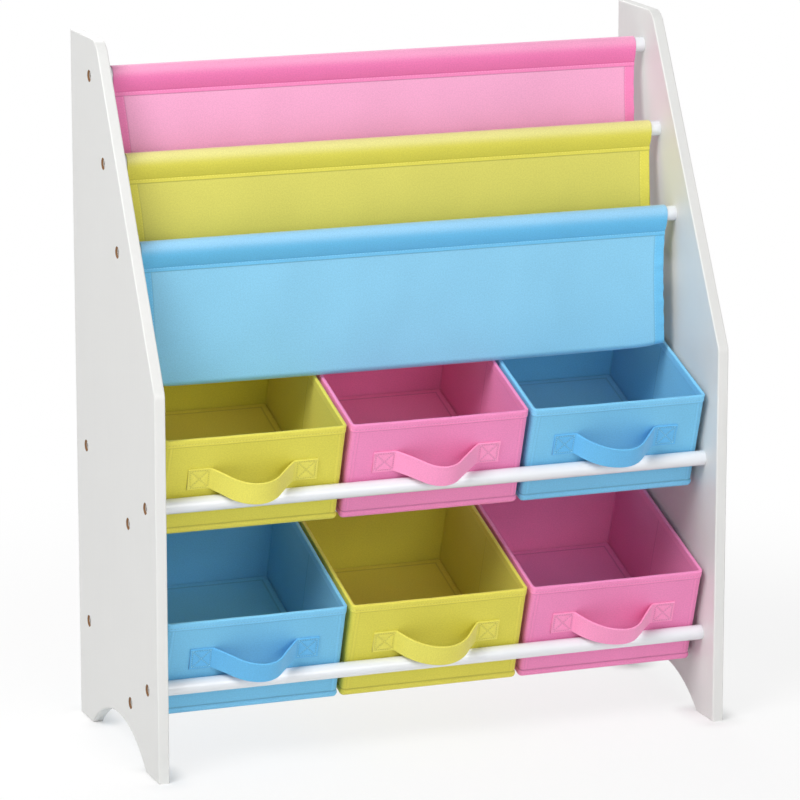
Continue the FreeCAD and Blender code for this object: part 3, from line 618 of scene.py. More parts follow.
def makeSling(tone, parts, seed):
    path, stations, spans = joinPath(parts)
    low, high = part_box(f"sling_{tone}")
    half, hem = (high.x - low.x) / 2 / mm, sling["hemWidth"]
    ends = half - np.linspace(0, hem + sling["hemFine"], sling["hemColumns"])
    columns = chain(spread(-half, half, sling["columnStep"]), -ends, ends)
    columns = np.unique(np.round(columns, 3))
    inset = half - np.abs(columns)
    tangent = unit(np.gradient(path, stations, axis=0))
    normal = np.stack((tangent[:, 1], -tangent[:, 0]), -1)
    s = stations[:, None]
    first, last = spans["wall"]
    hang = ease(s, first, last - first)         # 0 at the sleeve, 1 at the pocket's foot
    shown = s > first
    phase = phases(seed, 4)
    loose = np.sin(math.pi * hang) ** 0.8
    # ripples: long waves across the width that drift with the drop, still at the seams
    ripples = waveSum(columns, s, sling["waves"], phase)
    ripples = ripples + waveSum(columns, s, sling["topWaves"], phase[2:]) * (1 - hang)
    # puckers: short waves of uneven length that die away below the sewn sleeve
    gathers = wave(columns / sling["puckerLength"] + 0.4 * np.sin(columns / 23 + phase[3]))
    gathers = gathers * np.exp(-(s - first) / sling["puckerDrop"]) * shown
    # flutter: the sewn side hems scallop gently on their way down; lengths in mm
    edges = bell(inset, 0, sling["flutterReach"]) * loose
    scallops = wave(s / 21, phase[0]) + 0.6 * wave(s / 13, phase[2])
    offset = sling["ripple"] * ripples * loose + sling["pucker"] * gathers
    offset = offset + sling["flutter"] * scallops * edges
    # the foot of a pocket bows forwards in the middle, and rises and draws in at the sides
    across = columns / half
    ahead = hang ** 1.5 * (1 - ease(s, last, sling["bowFade"])) * (1 - across ** 2) * ("fold" in spans)
    x = columns * (1 - slingHang[tone][1] / half * (1 - (1 - hang) ** 4))
    x = x + sling["flutter"] * 0.5 * np.sign(columns) * wave(s / 17, phase[1]) * edges
    y = path[:, :1] + normal[:, :1] * offset - sling["bow"] * ahead
    corner = sling["cornerRise"] * bell(inset, 0, sling["cornerReach"]) * hang ** 6
    z = path[:, 1:] + normal[:, 1:] * offset + sling["sideRise"] * np.abs(across) ** 3 * hang + corner
    # doubled cloth: the sleeve, the sewn tab under it and the side hems
    tabEnd = first + sling["tab"]
    onTab = ease(s, first, sling["tabSoft"][0]) * ease(tabEnd - s, 0, sling["tabSoft"][1])
    onHem = ease(hem - inset, 0, sling["hemSoft"])
    sleeve = ((s > spans["sleeve"][0] - sling["tab"]) & (s < tabEnd)) * 1.0
    thickness = sling["cloth"] / 2

    def face(depth):
        return np.stack((x, y + normal[:, :1] * depth, z + normal[:, 1:] * depth), -1)

    outer = face(thickness + sling["ridge"] * onTab)
    inner = face(-thickness - sling["hemThick"] * onHem * shown)
    doubled = np.maximum(sleeve * np.where(onTab > 0, sling["tabDoubled"], 1.0),
                         sling["hemDoubled"] * onHem)
    # painted highlight: the sleeve's top, over the tube, is whitened as if lit from above
    fromTop = np.abs(s - sum(spans["sleeve"]) / 2)
    overTube = 0.5 - 0.5 * np.tanh((fromTop - sling["highlightFrom"]) / sling["highlightFade"])
    # painted shade along the sewn tab, the sleeve's seam, the hems' sewn lines and the side edges
    seam = strongest(
        paintedShadeAt(s - tabEnd, sling["tabShade"]), paintedShadeAt(s - first + 0.5, sling["sleeveShade"]),
        paintedShadeAt(inset - hem, sling["hemShade"]) * (s > tabEnd), paintedShadeAt(inset, sling["sideShade"]))
    uv = flatMap(columns + half, s)
    patches = [patch(outer * mm, uv, seam, doubled, sling["paintedHighlight"] * overTube),
               patch(inner * mm, uv, seam, doubled)]
    # the cut edges of the strip carry a little painted shade
    for edge, axis in ((np.s_[:1, :], 0), (np.s_[-1:, :], 0), (np.s_[:, :1], 1), (np.s_[:, -1:], 1)):
        strip = np.concatenate((outer[edge], inner[edge]), axis)
        patches.append(patch(strip * mm, np.concatenate((uv[edge], uv[edge]), axis),
                             sling["edgeShade"], sling["edgeDoubled"]))
    slot, solid = f"cloth_{tone}", f"sling_{tone}"
    piece = newPiece(f"sling_cloth_{tone}", patches, clothOf["slingCloth", tone], "frame", solid)
    outward = np.concatenate((0 * path[:, :1], normal), 1)
    row = np.abs(stations - first - sling["tabStitch"]).argmin()
    sewing = [stitches(outer[row], outward[row])]
    wall = (stations > tabEnd) & (stations < last)
    for side in (-1, 1):
        column = np.abs(columns - side * (half - hem + sling["hemStitch"])).argmin()
        sewing.append(stitches(outer[wall, column], outward[wall]))
    sewing = [patch(each * mm, 0.0) for each in sewing]
    newPiece(f"sling_stitches_{tone}", sewing, clothOf["thread", tone], "frame")


def makeSlings():
    sleeves = {tone: sleevePath(tone) for tone in rods}
    fronts, rears = ({tone: seamPoints(tone)[layer] for tone in rods} for layer in (0, 1))
    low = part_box("sling_blue")[0]
    frontFold = np.array((low.y, low.z)) / mm + sling["foldRadius"] + sling["solidCloth"] / 2
    rearFold = frontFold + rods["yellow"] - rods["blue"]
    wall, bend, behind, rearWall = pocketPath(frontFold, fronts["blue"], fronts["yellow"])
    makeSling("blue", [("tail", tailPath("blue")), ("sleeve", sleeves["blue"]), ("wall", wall),
                       ("fold", bend), ("behind", behind)], 3)
    hidden, bend, behind, farWall = pocketPath(rearFold, rears["yellow"], fronts["pink"])
    makeSling("yellow", [("behind", behind[::-1]), ("rearFold", bend[::-1]), ("hidden", hidden[::-1]),
                         ("sleeve", sleeves["yellow"]), ("wall", rearWall)], 5)
    makeSling("pink", [("tail", tailPath("pink")), ("sleeve", sleeves["pink"]), ("wall", farWall)], 8)


makeSlings()
print("slings made")


# Fabric boxes: rows of a profile carried round a plan with round corners, in the box's own frame

plan = {"corner": 4.5, "cornerColumns": 9, "step": 6.0, "closest": 0.1, "foldReach": 2.4, "foldColumns": 13,
        "endReach": 6.6, "endColumns": 18, "floorRows": 9}


def limits(node, origin=0.0):
    # the least and greatest places of a node along the box's axes, in mm
    local = nodePoints(node) @ boxAxes.T / mm - origin
    return local.min(0), local.max(0)


def boxFrame(box):
    # the box's size, from its wall boards, which lie one cloth inside its faces
    low, high = limits(box + "_wall_boards")
    low, high = low - cover["cloth"], high + cover["cloth"]
    origin = np.array(((low[0] + high[0]) / 2, low[1], low[2]))
    return origin, high - low


def toFrame(origin, points):
    return (points + origin) @ boxAxes * mm


def boxPlan(width, depth):
    # columns round the plan, each with a core place from -1 to 1 and its outward direction;
    # on a wall also its distance from the wall's middle and nearest end
    radius = plan["corner"]
    ring = []
    for outX, outY in ((0, -1), (1, 0), (0, 1), (-1, 0)):
        goX, goY = -outY, outX
        length = (width if outX == 0 else depth) - 2 * radius
        ends = np.linspace(0, plan["endReach"], plan["endColumns"])
        fold = np.linspace(-plan["foldReach"], plan["foldReach"], plan["foldColumns"]) * abs(outX)
        run = chain(spread(0, length, plan["step"]), ends, length - ends, length / 2 + fold)
        run = thinOut(run, 0, length, plan["closest"])
        share = 2 * run / length - 1
        ones = np.ones_like(run)
        ring.append(np.stack((
            goX * share + outX, goY * share + outY, outX * ones, outY * ones, run - length / 2,
            np.minimum(run, length - run), share, (outY == -1) * ones, outX * ones)))
        angles = math.atan2(outY, outX) + np.linspace(0, math.pi / 2, plan["cornerColumns"])[1:-1]
        ones = np.ones_like(angles)
        ring.append(np.stack((
            (outX + goX) * ones, (outY + goY) * ones, np.cos(angles), np.sin(angles), length * ones,
            -radius * ones, ones, 0 * ones, 0 * ones)))
    ring.append(ring[0][:, :1])
    names = ("coreX", "coreY", "outX", "outY", "fromMiddle", "fromEnd", "share", "front", "side")
    found = dict(zip(names, np.concatenate(ring, 1)))
    found["onWall"] = (found["fromEnd"] >= 0) * 1.0
    level = np.zeros((1, 1))
    found["u"] = lengthAlong(ringPoints(found, width, depth, level, level, radius)[0])
    return found


def ringPoints(ring, width, depth, out, up, radius):
    # each point is the corner's centre, moved out by the radius and the row's offset
    x = ring["coreX"] * (width / 2 - radius) + ring["outX"] * (radius + out)
    y = depth / 2 + ring["coreY"] * (depth / 2 - radius) + ring["outY"] * (radius + out)
    return np.stack(np.broadcast_arrays(x, y, up), -1)


def floorPatch(ring, origin, crown=0.0, doubled=0.0):
    # a ring drawn in evenly to its middle
    share = np.linspace(1, 0, plan["floorRows"])[:, None, None]
    middle = np.array((0, (ring[:, 1].min() + ring[:, 1].max()) / 2, ring[:, 2].mean()))
    points = middle + (ring - middle) * share
    points[..., 2] += crown * (1 - share[..., 0] ** 2)
    return patch(toFrame(origin, points), points[..., :2] * mm, 0.0, doubled)


def profile(*groups):
    # the rows of named groups as columns: their kinds, and their offsets outwards and upwards
    kinds, outs, ups = zip(*[([kind] * len(up), out + 0 * up, up) for kind, out, up in groups])
    return [np.concatenate(rows)[:, None] for rows in (kinds, outs, ups)]


def addTub(box, tone, name, solid, origin, points, uv, seam, doubled=0.0, under=0.0, crown=0.0):
    # a wall and the two faces that close it, in place of the box's solid
    patches = [patch(toFrame(origin, points), uv, seam, doubled),
               floorPatch(points[0], origin, doubled=under), floorPatch(points[-1], origin, crown)]
    newPiece(f"{box}_{name}", patches, clothOf["boxCloth", tone], box, f"{box}_{solid}")


def wallMap(ring, out, up):
    # flat map of a tub: round the plan, and along its profile
    return flatMap(ring["u"], lengthAlong(np.concatenate((out, up), 1))[:, None])


def wallWaves(ring, up, seed):
    # long shallow waves over a wall, brought between 0 and 1
    most = sum(strength for strength, wide, tall in cover["waves"])
    return 0.5 + waveSum(ring["u"], up, cover["waves"], phases(seed, 4)) / (2 * most)


def rimLift(ring, up, height, seed):
    # the rim dips along each wall and waves a little; nothing moves at the floor
    phase = phases(seed + 50, 2)
    dip = -cover["rimDip"] * (1 - ring["share"] ** 2)
    ripple = cover["rimWave"] * wave(ring["u"] / cover["rimLength"], phase[0]) * (1 - ring["share"] ** 4)
    return (dip + ripple) * ring["onWall"] * ease(up, 0, height) ** 3


def cornerRadius(up, height):
    return cover["footCorner"] + (cover["topCorner"] - cover["footCorner"]) * ease(up, 0, height) ** 2


cover = {"cloth": 1.0, "topCorner": 5.6, "footCorner": 4.2, "bandHeight": 8.8, "bandProud": 1.15,
         "bandTuck": 2.4, "bandRows": 16, "groove": 0.35, "grooveReach": 0.9, "wallStep": 4.5,
         "nearRows": (0.35, 0.8, 1.5, 2.6), "wallFrom": 4.2, "wallTo": 4.0,
         "hemHeight": 8.4, "hemProud": 0.6, "hemRound": 0.16, "hemRows": (0.06, 0.2, 0.45, 0.9),
         "hemStitch": 2.8, "stitchDip": 0.22, "stitchReach": 0.6, "rimRise": 1.2, "rimRows": 15,
         "innerHem": 3.3, "innerRows": 6, "rimDip": 0.45, "rimWave": 0.12, "rimLength": 58,
         "swell": 0.7, "frontSwell": 0.3, "wave": 0.25, "railReach": 17.0,
         "waves": ((1.0, 131, 210), (1.0, 67, -160), (0.6, 37, 90)),
         "pucker": 0.22, "puckerLength": 9.5, "bandPucker": 4.5, "hemPucker": 4.0,
         "stripFrom": 0.3, "stripTo": 3.6, "stripEdge": 0.4, "strip": 0.25, "stripDoubled": 0.5,
         # painted shade: stripShade beside the corner strips' sewn edges, creaseShade in the fold creases,
         # and bandShade, hemShade and stitchShade along the sewn lines
         "crease": 0.6, "creaseReach": 0.75, "stripShade": 0.28, "creaseShade": 0.5,
         "bandShade": (1.0, 0.75), "hemShade": (0.85, 0.5), "stitchShade": (0.45, 0.5)}    # strength, reach


def coverRows(height, foot):
    # the profile as rows of a kind, with their offsets outwards and upwards
    # seam band: a half ellipse from the floor, cut where it meets the groove
    reach = cover["bandProud"] + cover["bandTuck"]
    last = math.acos((cover["bandTuck"] - cover["groove"]) / reach)
    turn = np.linspace(-math.pi / 2, last, cover["bandRows"])
    bandOut = -cover["bandTuck"] + reach * np.cos(turn)
    bandUp = cover["bandHeight"] / 2 * (1 + np.sin(turn))
    top = bandUp[-1]
    near = np.array(cover["nearRows"])
    plain = np.arange(top + cover["wallFrom"], foot - cover["wallTo"], cover["wallStep"])
    wallUp = chain(top + near, plain, foot - near[::-1], [foot])
    wallOut = -cover["groove"] * bell(wallUp, top, cover["grooveReach"])
    # hem: a rounded step out, a stitched dip, and a half ellipse over the rim to the inside
    hemTop = height - cover["rimRise"]
    stitch = foot + cover["hemStitch"]
    hemUp = np.unique(chain(foot + np.array(cover["hemRows"]), stitch + np.linspace(-1.5, 1.5, 9),
                            np.linspace(foot + 1.6, hemTop, 5)))
    hemOut = cover["hemProud"] * (1 - np.exp(-(hemUp - foot) / cover["hemRound"]))
    hemOut -= cover["stitchDip"] * bell(hemUp, stitch, cover["stitchReach"])
    over = np.linspace(0, math.pi, cover["rimRows"])[1:]
    rimHalf = (cover["hemProud"] + cover["innerHem"]) / 2
    rimOut = cover["hemProud"] - rimHalf + rimHalf * np.cos(over)
    rimUp = hemTop + cover["rimRise"] * np.sin(over)
    insideUp = chain(np.linspace(hemTop - 1, foot + 0.4, cover["innerRows"]), [foot + 0.1, foot])
    insideOut = chain(np.zeros(cover["innerRows"]), [0.12, 0.34]) - cover["innerHem"]
    # hidden faces: up behind the inner hem, over the boards and down to the floor
    under, cloth = lining["inner"] + 0.06, cover["cloth"] - 0.05
    hiddenOut = -np.array((under, under, under - 0.4, cover["cloth"] + 0.4, cloth, cloth))
    hiddenUp = np.array((foot + 0.4, height - 1.9, height - 1.0, height - 1.0, height - 1.5, cloth))
    rows = profile(("band", bandOut, bandUp), ("wall", wallOut, wallUp), ("hem", hemOut, hemUp),
                   ("hem", rimOut, rimUp), ("hem", insideOut, insideUp), ("hidden", hiddenOut, hiddenUp))
    return *rows, top


def makeCover(box, tone, origin, size, ring, railUp, seed):
    width, depth, height = size
    foot = height - cover["hemHeight"]
    kind, out, up, top = coverRows(height, foot)
    wall = (kind == "wall") * 1.0
    u, fromEnd, onWall = ring["u"], ring["fromEnd"], ring["onWall"]
    # walls: a swell with waves, held back behind the rail, and puckers along both seams
    rise = np.sin(math.pi * ease(up, top, foot - top)) ** 0.6
    offRail = 1 - ring["front"] * np.exp(-((up - railUp) / cover["railReach"]) ** 4)
    swell = np.where(ring["front"] > 0, cover["frontSwell"], cover["swell"]) * (1 - ring["share"] ** 2)
    bulge = (swell + cover["wave"] * wallWaves(ring, up, seed)) * onWall * rise * offRail
    pucker = 0.5 + 0.5 * wave(u / cover["puckerLength"] + 0.45 * np.sin(u / 17 + seed))
    beside = bell(up, top, cover["bandPucker"]) + bell(up, foot, cover["hemPucker"])
    bulge += cover["pucker"] * pucker * beside * onWall
    # corner seams: a raised strip beside each corner, sewn along both its edges
    start, end, edge = cover["stripFrom"], cover["stripTo"], cover["stripEdge"]
    strip = ease(fromEnd, start, edge) * ease(end - fromEnd, 0, edge)
    stripEdge = np.maximum(bell(fromEnd, start, edge), bell(fromEnd, end, edge))
    crease = bell(ring["fromMiddle"], 0, cover["creaseReach"]) * np.abs(ring["side"])
    bulge = (bulge + cover["strip"] * strip - cover["crease"] * crease) * wall
    lifted = up + rimLift(ring, up, height, seed)
    points = ringPoints(ring, width, depth, out + bulge, lifted, cornerRadius(up, height))
    stitch = foot + cover["hemStitch"]
    # painted shade along the band's groove, the hem's edge, the corner strips' sewn edges, the fold creases
    # and the hem's stitched dip
    seam = strongest(
        paintedShadeAt(up - top, cover["bandShade"]) * (kind != "hidden"), paintedShadeAt(up - foot, cover["hemShade"]) * wall,
        cover["stripShade"] * stripEdge * wall, cover["creaseShade"] * crease * wall,
        paintedShadeAt(up - stitch, cover["stitchShade"]) * (kind == "hem") * (out > 0))
    doubled = np.maximum(1 - wall, cover["stripDoubled"] * strip)
    uv = wallMap(ring, out, up)
    addTub(box, tone, "cloth_cover", "cover", origin, points, uv, seam, doubled, under=1.0)
    outward = np.stack((ring["outX"], ring["outY"], 0 * u), -1)
    return [stitches(points[np.abs(up[:, 0] - stitch).argmin()], outward)]


# creaseShade and cornerShade paint shade into the fold crease and the round corners
lining = {"inner": 2.95, "outer": 2.45, "floor": 1.55, "floorArc": 2.0, "arcRows": 7, "topDrop": 2.0,
          "wave": 0.4, "crease": 0.25, "creaseReach": 0.9, "creaseShade": 0.35, "cornerShade": 0.25}


def makeLining(box, tone, origin, size, ring, seed):
    # a tub in the cover: a round foot, waving walls and a folded edge under the cover's inner hem
    width, depth, height = size
    inner, outer, arc = lining["inner"], lining["outer"], lining["floorArc"]
    turn = np.linspace(-math.pi / 2, 0, lining["arcRows"])
    arcOut = -inner - arc + arc * np.cos(turn)
    arcUp = lining["floor"] + arc + arc * np.sin(turn)
    topUp = height - lining["topDrop"]
    wallUp = np.arange(arcUp[-1] + 3, topUp - 2, cover["wallStep"])
    edgeOut = -np.array((inner, inner - 0.2, outer + 0.15, outer, outer))
    edgeUp = np.array((topUp - 0.3, topUp, topUp, topUp - 0.3, cover["cloth"] + 0.1))
    kind, out, up = profile(("foot", arcOut, arcUp), ("wall", -inner, wallUp), ("edge", edgeOut, edgeUp))
    shown = (kind == "wall") * 1.0
    radius = np.maximum(cornerRadius(up, height), inner + arc)
    crease = bell(ring["fromMiddle"], 0, lining["creaseReach"]) * np.abs(ring["side"])
    rise = np.sin(math.pi * ease(up, 0, height - cover["hemHeight"])) ** 0.6
    inwards = lining["wave"] * wallWaves(ring, up, seed + 20) * ring["onWall"] * rise
    inwards -= lining["crease"] * crease
    lifted = up + rimLift(ring, up, height, seed)
    points = ringPoints(ring, width, depth, out - inwards * shown, lifted, radius)
    # painted shade in the round corners and along the fold crease
    corner = lining["cornerShade"] * (1 - ring["onWall"])
    seam = np.maximum(lining["creaseShade"] * crease, corner) * shown
    addTub(box, tone, "cloth_lining", "lining", origin, points, wallMap(ring, out, up), seam)


# seam: strength and reach of the painted shade along the sewn border
baseBoard = {"corner": 3.0, "leastCorner": 0.5, "edgeRows": 9, "border": 7.0, "crown": 0.5, "groove": 0.35,
             "grooveReach": 0.8, "topRows": (2.5, 4.5, 5.6, 6.3, 7.0, 7.7, 8.4, 10.0), "seam": (0.8, 0.9)}


def makeBaseBoard(box, tone, origin):
    # a flat board wrapped in cloth: a half ellipse round its edge, a sewn border and a slight crown
    low, high = limits(box + "_base_board", origin)
    width, depth, thick = high - low
    ring = boxPlan(width, depth)
    turn = np.linspace(-math.pi / 2, math.pi / 2, baseBoard["edgeRows"])
    edgeOut, edgeUp = thick / 2 * (np.cos(turn) - 1), low[2] + thick / 2 * (1 + np.sin(turn))
    topOut = -np.array(baseBoard["topRows"])
    topUp = high[2] - baseBoard["groove"] * bell(-topOut, baseBoard["border"], baseBoard["grooveReach"])
    out, up = profile(("edge", edgeOut, edgeUp), ("top", topOut, topUp))[1:]
    radius = np.maximum(baseBoard["corner"], baseBoard["leastCorner"] - out)
    points = ringPoints(ring, width, depth, out, up, radius) + np.array((0, low[1], 0))
    # painted shade along the sewn border's groove
    seam = paintedShadeAt(-out - baseBoard["border"], baseBoard["seam"])
    uv = points[..., :2] * mm
    addTub(box, tone, "floor_board", "base_board", origin, points, uv, seam, crown=baseBoard["crown"])


# seam and endShade: painted shade along the pads' sewn lines and on the strap's cut ends
strap = {"thickness": 1.9, "bend": 2.2, "droop": 5.0, "faceColumns": 39, "edgeColumns": 7, "backColumns": 9,
         "roll": 0.16, "rollReach": 1.3, "stitchInset": 2.3, "stitchPitch": 2.6, "stitchLift": 0.2,
         "quilt": 0.4, "quiltReach": 0.75, "puff": 0.25, "puffReach": 2.4, "seam": (0.9, 0.6),
         "endShade": 0.1, "padStep": 0.6, "padGap": 0.8, "padFade": 2.0, "loopStep": 0.7, "loopReach": 47.0}
strapLie = {        # angles of the left and right arm, bend at the right, sway, crown's lean, pads' lift
    "box_upper_left": (47, 44, 7.0, 0.0, 3, 0.0), "box_upper_middle": (40, 40, 4.0, 0.5, -4, 0.8),
    "box_upper_right": (60, 46, 7.0, 2.0, -8, 2.6), "box_lower_left": (42, 44, 3.0, 4.0, -7, 2.4),
    "box_lower_middle": (56, 48, 4.0, 1.5, -5, 0.0), "box_lower_right": (59, 45, 7.0, 3.0, -16, 0.3),
}
padLines = ((0, 1), (1, 2), (2, 3), (3, 0), (0, 2), (1, 3))         # sides and diagonals of a stitched pad


def padDistance(x, w, corners):
    # distance from each point to the nearest line of a pad
    nearest = np.full(np.broadcast(x, w).shape, np.inf)
    for first, second in padLines:
        start, step = corners[first], corners[second] - corners[first]
        awayX, awayW = x - start[0], w - start[1]
        share = np.clip((awayX * step[0] + awayW * step[1]) / (step @ step), 0, 1)
        nearest = np.minimum(nearest, np.hypot(awayX - share * step[0], awayW - share * step[1]))
    return nearest


def halfLoop(reach, bulge, armAngle, bend):
    # from the pad to the crown, in plan: a bend, a straight arm and an arc that touches arm and crown
    turn = math.radians(armAngle)
    crown = (reach * math.sin(turn) - bulge * math.cos(turn)) / (1 - math.cos(turn)) - bend
    foot = arcAbout((-reach, bend), bend, -math.pi / 2, -math.pi / 2 + turn)
    top = arcAbout((0, bulge - crown), crown, math.pi / 2 + turn, math.pi / 2)
    return chain(foot, lineTo(foot[-1], top[0])[1:-1], top)


def makeHandle(box, tone, origin):
    # a flat strap carried along a path: stitched pads at its ends, and between them a loop of two halves
    low, high = limits(box + "_handle", origin)
    leftAngle, rightAngle, rightBend, sway, lean, lift = strapLie[box]
    end, centre = high[0], (low[2] + high[2]) / 2 + lift
    wide, thick = high[2] - low[2], strap["thickness"]
    reach, bulge, flat = strap["loopReach"], -low[1] - thick, thick / 2
    # path in plan, as (x, distance in front of the wall)
    left = halfLoop(reach + sway, bulge, leftAngle, strap["bend"])
    right = halfLoop(reach - sway, bulge, rightAngle, rightBend) * (-1, 1)
    loop = chain(left, right[::-1][1:]) + (sway, flat)
    loop = resample(loop, spread(0, lengthAlong(loop)[-1], strap["loopStep"]))
    pad = lineTo((-end, flat), (-reach, flat), strap["padStep"])
    path = chain(pad[:-1], loop, -pad[::-1][1:] * (1, -1))
    share = ease(path[:, 1], flat, bulge)
    middle = np.stack((path[:, 0], -path[:, 1], centre - strap["droop"] * share ** 1.5), -1)
    along = unit(np.gradient(middle, lengthAlong(middle), axis=0))
    tip = math.radians(lean) * share
    up = squared(np.stack((0 * tip, np.sin(tip), np.cos(tip)), -1), along)
    front = np.cross(along, up)
    # section: flat faces, half round edges, a slight roll beside each edge
    flatHalf = wide / 2 - flat
    face = np.linspace(-flatHalf, flatHalf, strap["faceColumns"])
    back = np.linspace(flatHalf, -flatHalf, strap["backColumns"])
    edge = np.linspace(math.pi / 2, -math.pi / 2, strap["edgeColumns"])[1:-1]
    edgeW, edgeN = flatHalf + flat * np.cos(edge), flat * np.sin(edge)
    w = chain(face, edgeW, back, -edgeW, face[:1])
    n = chain(0 * face + flat, edgeN, 0 * back - flat, -edgeN, [flat])
    isFace = chain(1 + 0 * face, 0 * edge, 0 * back, 0 * edge, [1])
    # pads: sewn lines drawn in, and the cloth between them puffed up
    x = path[:, :1]
    sewnHalf = wide / 2 - strap["stitchInset"]
    away = np.full((len(path), len(w)), np.inf)
    padCorners = []
    for side in (-1, 1):
        outside, inside = side * (end - strap["stitchInset"]), side * (reach + strap["padGap"])
        padCorners.append(np.array(((outside, -sewnHalf), (outside, sewnHalf),
                                    (inside, sewnHalf), (inside, -sewnHalf))))
        away = np.minimum(away, padDistance(x, w, padCorners[-1]))
    onPad = bell(np.maximum(reach - np.abs(x), 0), 0, strap["padFade"]) * isFace
    puff = strap["puff"] * (1 - bell(away, 0, strap["puffReach"]))
    quilt = (puff - strap["quilt"] * bell(away, 0, strap["quiltReach"])) * onPad
    roll = strap["roll"] * bell(np.abs(w), flatHalf, strap["rollReach"]) * np.sign(n)
    depth = (n + roll + quilt)[..., None]
    points = middle[:, None] + up[:, None] * w[:, None] + front[:, None] * depth
    uv = flatMap(w + wide, lengthAlong(middle)[:, None])
    # painted shade along the pads' sewn lines, and a little on the cut ends
    patches = [patch(toFrame(origin, points), uv, paintedShadeAt(away, strap["seam"]) * onPad)]
    for row in (0, -1):
        ring = points[row]
        cap = np.stack((ring, np.broadcast_to(ring.mean(0), ring.shape)))
        patches.append(patch(toFrame(origin, cap), np.stack((uv[row], uv[row])), strap["endShade"]))
    newPiece(f"{box}_strap", patches, clothOf["strapCloth", tone], box, f"{box}_handle")
    sewing = []
    raised = thick - strap["quilt"] + strap["stitchLift"]
    for corners in padCorners:
        for first, second in padLines:
            line = lineTo(corners[first], corners[second])
            seat = np.stack((line[:, 0], np.full(len(line), -raised), centre + line[:, 1]), -1)
            sewing.append(stitches(seat, np.array((0.0, -1.0, 0.0)), strap["stitchPitch"]))
    return sewing


for seed, (box, tone) in enumerate(boxColours.items()):
    origin, size = boxFrame(box)
    tier = "upper" if "upper" in box else "lower"
    railUp = np.array((0, *tubeAxis(f"{tier}_front_rail"))) @ upAxis - origin[2]
    ring = boxPlan(size[0], size[1])
    sewing = makeCover(box, tone, origin, size, ring, railUp, seed)
    makeLining(box, tone, origin, size, ring, seed)
    makeBaseBoard(box, tone, origin)
    sewing += makeHandle(box, tone, origin)
    sewing = [patch(toFrame(origin, each), 0.0) for each in sewing]
    newPiece(f"{box}_stitches", sewing, clothOf["thread", tone], box)
    print(box, "sewn:", np.round(size, 1))


# Floor, light and camera

stage = {"floorReach": 6.0, "floorTone": (248, 248, 248), "floorGrain": 60.0,
         "floorRoughness": (0.85, 0.95), "floorGlow": 0.8, "fadeFrom": 0.45, "fadeTo": 1.1,
         "footShadowGlow": 0.4, "footShadowReach": 0.03, "ambient": 0.28}
lamps = {       # azimuth and elevation in degrees, distance and size in metres, watts
    "key": (-56.0, 46.0, 3.4, 1.8, 74.0),
    "front": (6.0, 14.0, 3.6, 2.2, 38.0),
    "rear": (178.0, 42.0, 3.2, 2.2, 34.0),
}
camera = {"aim": (-0.001, 0.0, 0.348), "azimuth": -20.6, "elevation": 13.05, "distance": 4.808,
          "lens": 204.96, "sensor": 36.0, "farthest": 100.0}


def aimAt(holder, azimuth, elevation, distance):
    # puts a lamp or camera round the aim, looking at it; azimuth 0 is the front
    a, e = math.radians(azimuth), math.radians(elevation)
    back = Vector((math.sin(a) * math.cos(e), -math.cos(a) * math.cos(e), math.sin(e)))
    holder.location = Vector(camera["aim"]) + back * distance
    holder.rotation_euler = (-back).to_track_quat("-Z", "Y").to_euler()
    bpy.context.scene.collection.objects.link(holder)


def seenDirectly(tree):
    path = place(tree, "LightPath").outputs
    return sums(tree, "MAXIMUM", path["Is Camera Ray"],
                sums(tree, "MAXIMUM", path["Is Glossy Ray"], path["Is Transmission Ray"]))


def fromFeet(tree, spot):
    # distance on the floor to the nearest foot; the four feet mirror one another, so one is measured
    ground = np.abs(nodePoints("side_panel_right"))
    ground = ground[ground[:, 2] < mm]
    low, high = ground.min(0), ground.max(0)
    away = vector(tree, "SUBTRACT", vector(tree, "ABSOLUTE", spot), (low + high) / 2)
    away = vector(tree, "SUBTRACT", vector(tree, "ABSOLUTE", away), (high - low) / 2)
    return measure(tree, "LENGTH", vector(tree, "MAXIMUM", away, (0.0, 0.0, 0.0)))


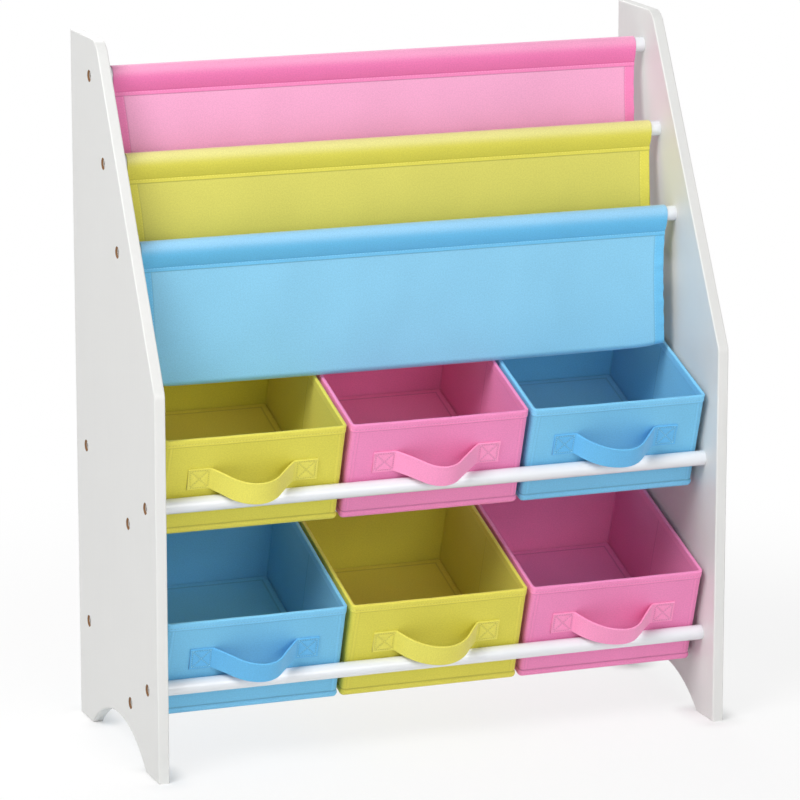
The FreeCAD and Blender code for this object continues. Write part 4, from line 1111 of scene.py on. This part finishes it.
def makeFloor():
    # a pale plane that shows white to the camera and still takes the shadow; near the feet its glow falls,
    # which paints a darker contact shadow there
    reach = stage["floorReach"]
    mesh = bpy.data.meshes.new("floor")
    corners = [(x * reach, y * reach, 0) for x, y in ((-1, -1), (1, -1), (1, 1), (-1, 1))]
    mesh.from_pydata(corners, [], [(0, 1, 2, 3)])
    floor = bpy.data.objects.new("floor", mesh)
    bpy.context.scene.collection.objects.link(floor)
    material, tree, shader = newMaterial("floorPaper")
    spot = objectSpot(tree)
    grain = noise(tree, spot, stage["floorGrain"], 2.0)
    feed(tree, shader, {"Roughness": ramp(tree, grain, 0.3, 0.7, *stage["floorRoughness"]),
                        "Base Color": linear(stage["floorTone"]), "Specular IOR Level": 0.0})
    glow = place(tree, "Emission", {"Color": (1, 1, 1, 1), "Strength": 1.0})
    away = measure(tree, "LENGTH", spot)
    share = ramp(tree, away, stage["fadeFrom"], stage["fadeTo"], stage["floorGlow"], 1.0)
    # painted contact shadow: near the feet the glow falls, so the floor there renders darker even where it
    # is lit
    beside = ramp(tree, fromFeet(tree, spot), 0.0, stage["footShadowReach"], stage["footShadowGlow"], 1.0)
    share = sums(tree, "MULTIPLY", sums(tree, "MULTIPLY", share, beside), seenDirectly(tree))
    mixed = place(tree, "MixShader", {0: share, 1: shader.outputs[0], 2: glow.outputs[0]})
    feed(tree, tree.nodes["Material Output"], {"Surface": mixed.outputs[0]})
    mesh.materials.append(material)


def makeWorld():
    # white where it is seen directly, and dimmer as a light
    world = bpy.data.worlds.new("studio")
    bpy.context.scene.world = world
    world.use_nodes = True
    tree = world.node_tree
    strength = place(tree, "MapRange", {0: seenDirectly(tree), 3: stage["ambient"], 4: 1.0})
    feed(tree, tree.nodes["Background"], {"Color": (1, 1, 1, 1), "Strength": strength.outputs[0]})


def makeLamps():
    for name, (azimuth, elevation, distance, size, watts) in lamps.items():
        light = bpy.data.lights.new(name, "AREA")
        light.shape, light.size, light.energy = "DISK", size, watts
        aimAt(bpy.data.objects.new(name, light), azimuth, elevation, distance)


def makeCamera():
    view = bpy.data.cameras.new("photoView")
    view.lens, view.sensor_width, view.clip_end = camera["lens"], camera["sensor"], camera["farthest"]
    holder = bpy.data.objects.new("photoView", view)
    aimAt(holder, camera["azimuth"], camera["elevation"], camera["distance"])
    bpy.context.scene.camera = holder


makeFloor()
makeWorld()
makeLamps()
makeCamera()
bpy.context.scene.view_settings.view_transform = "Standard"
print("stage set")
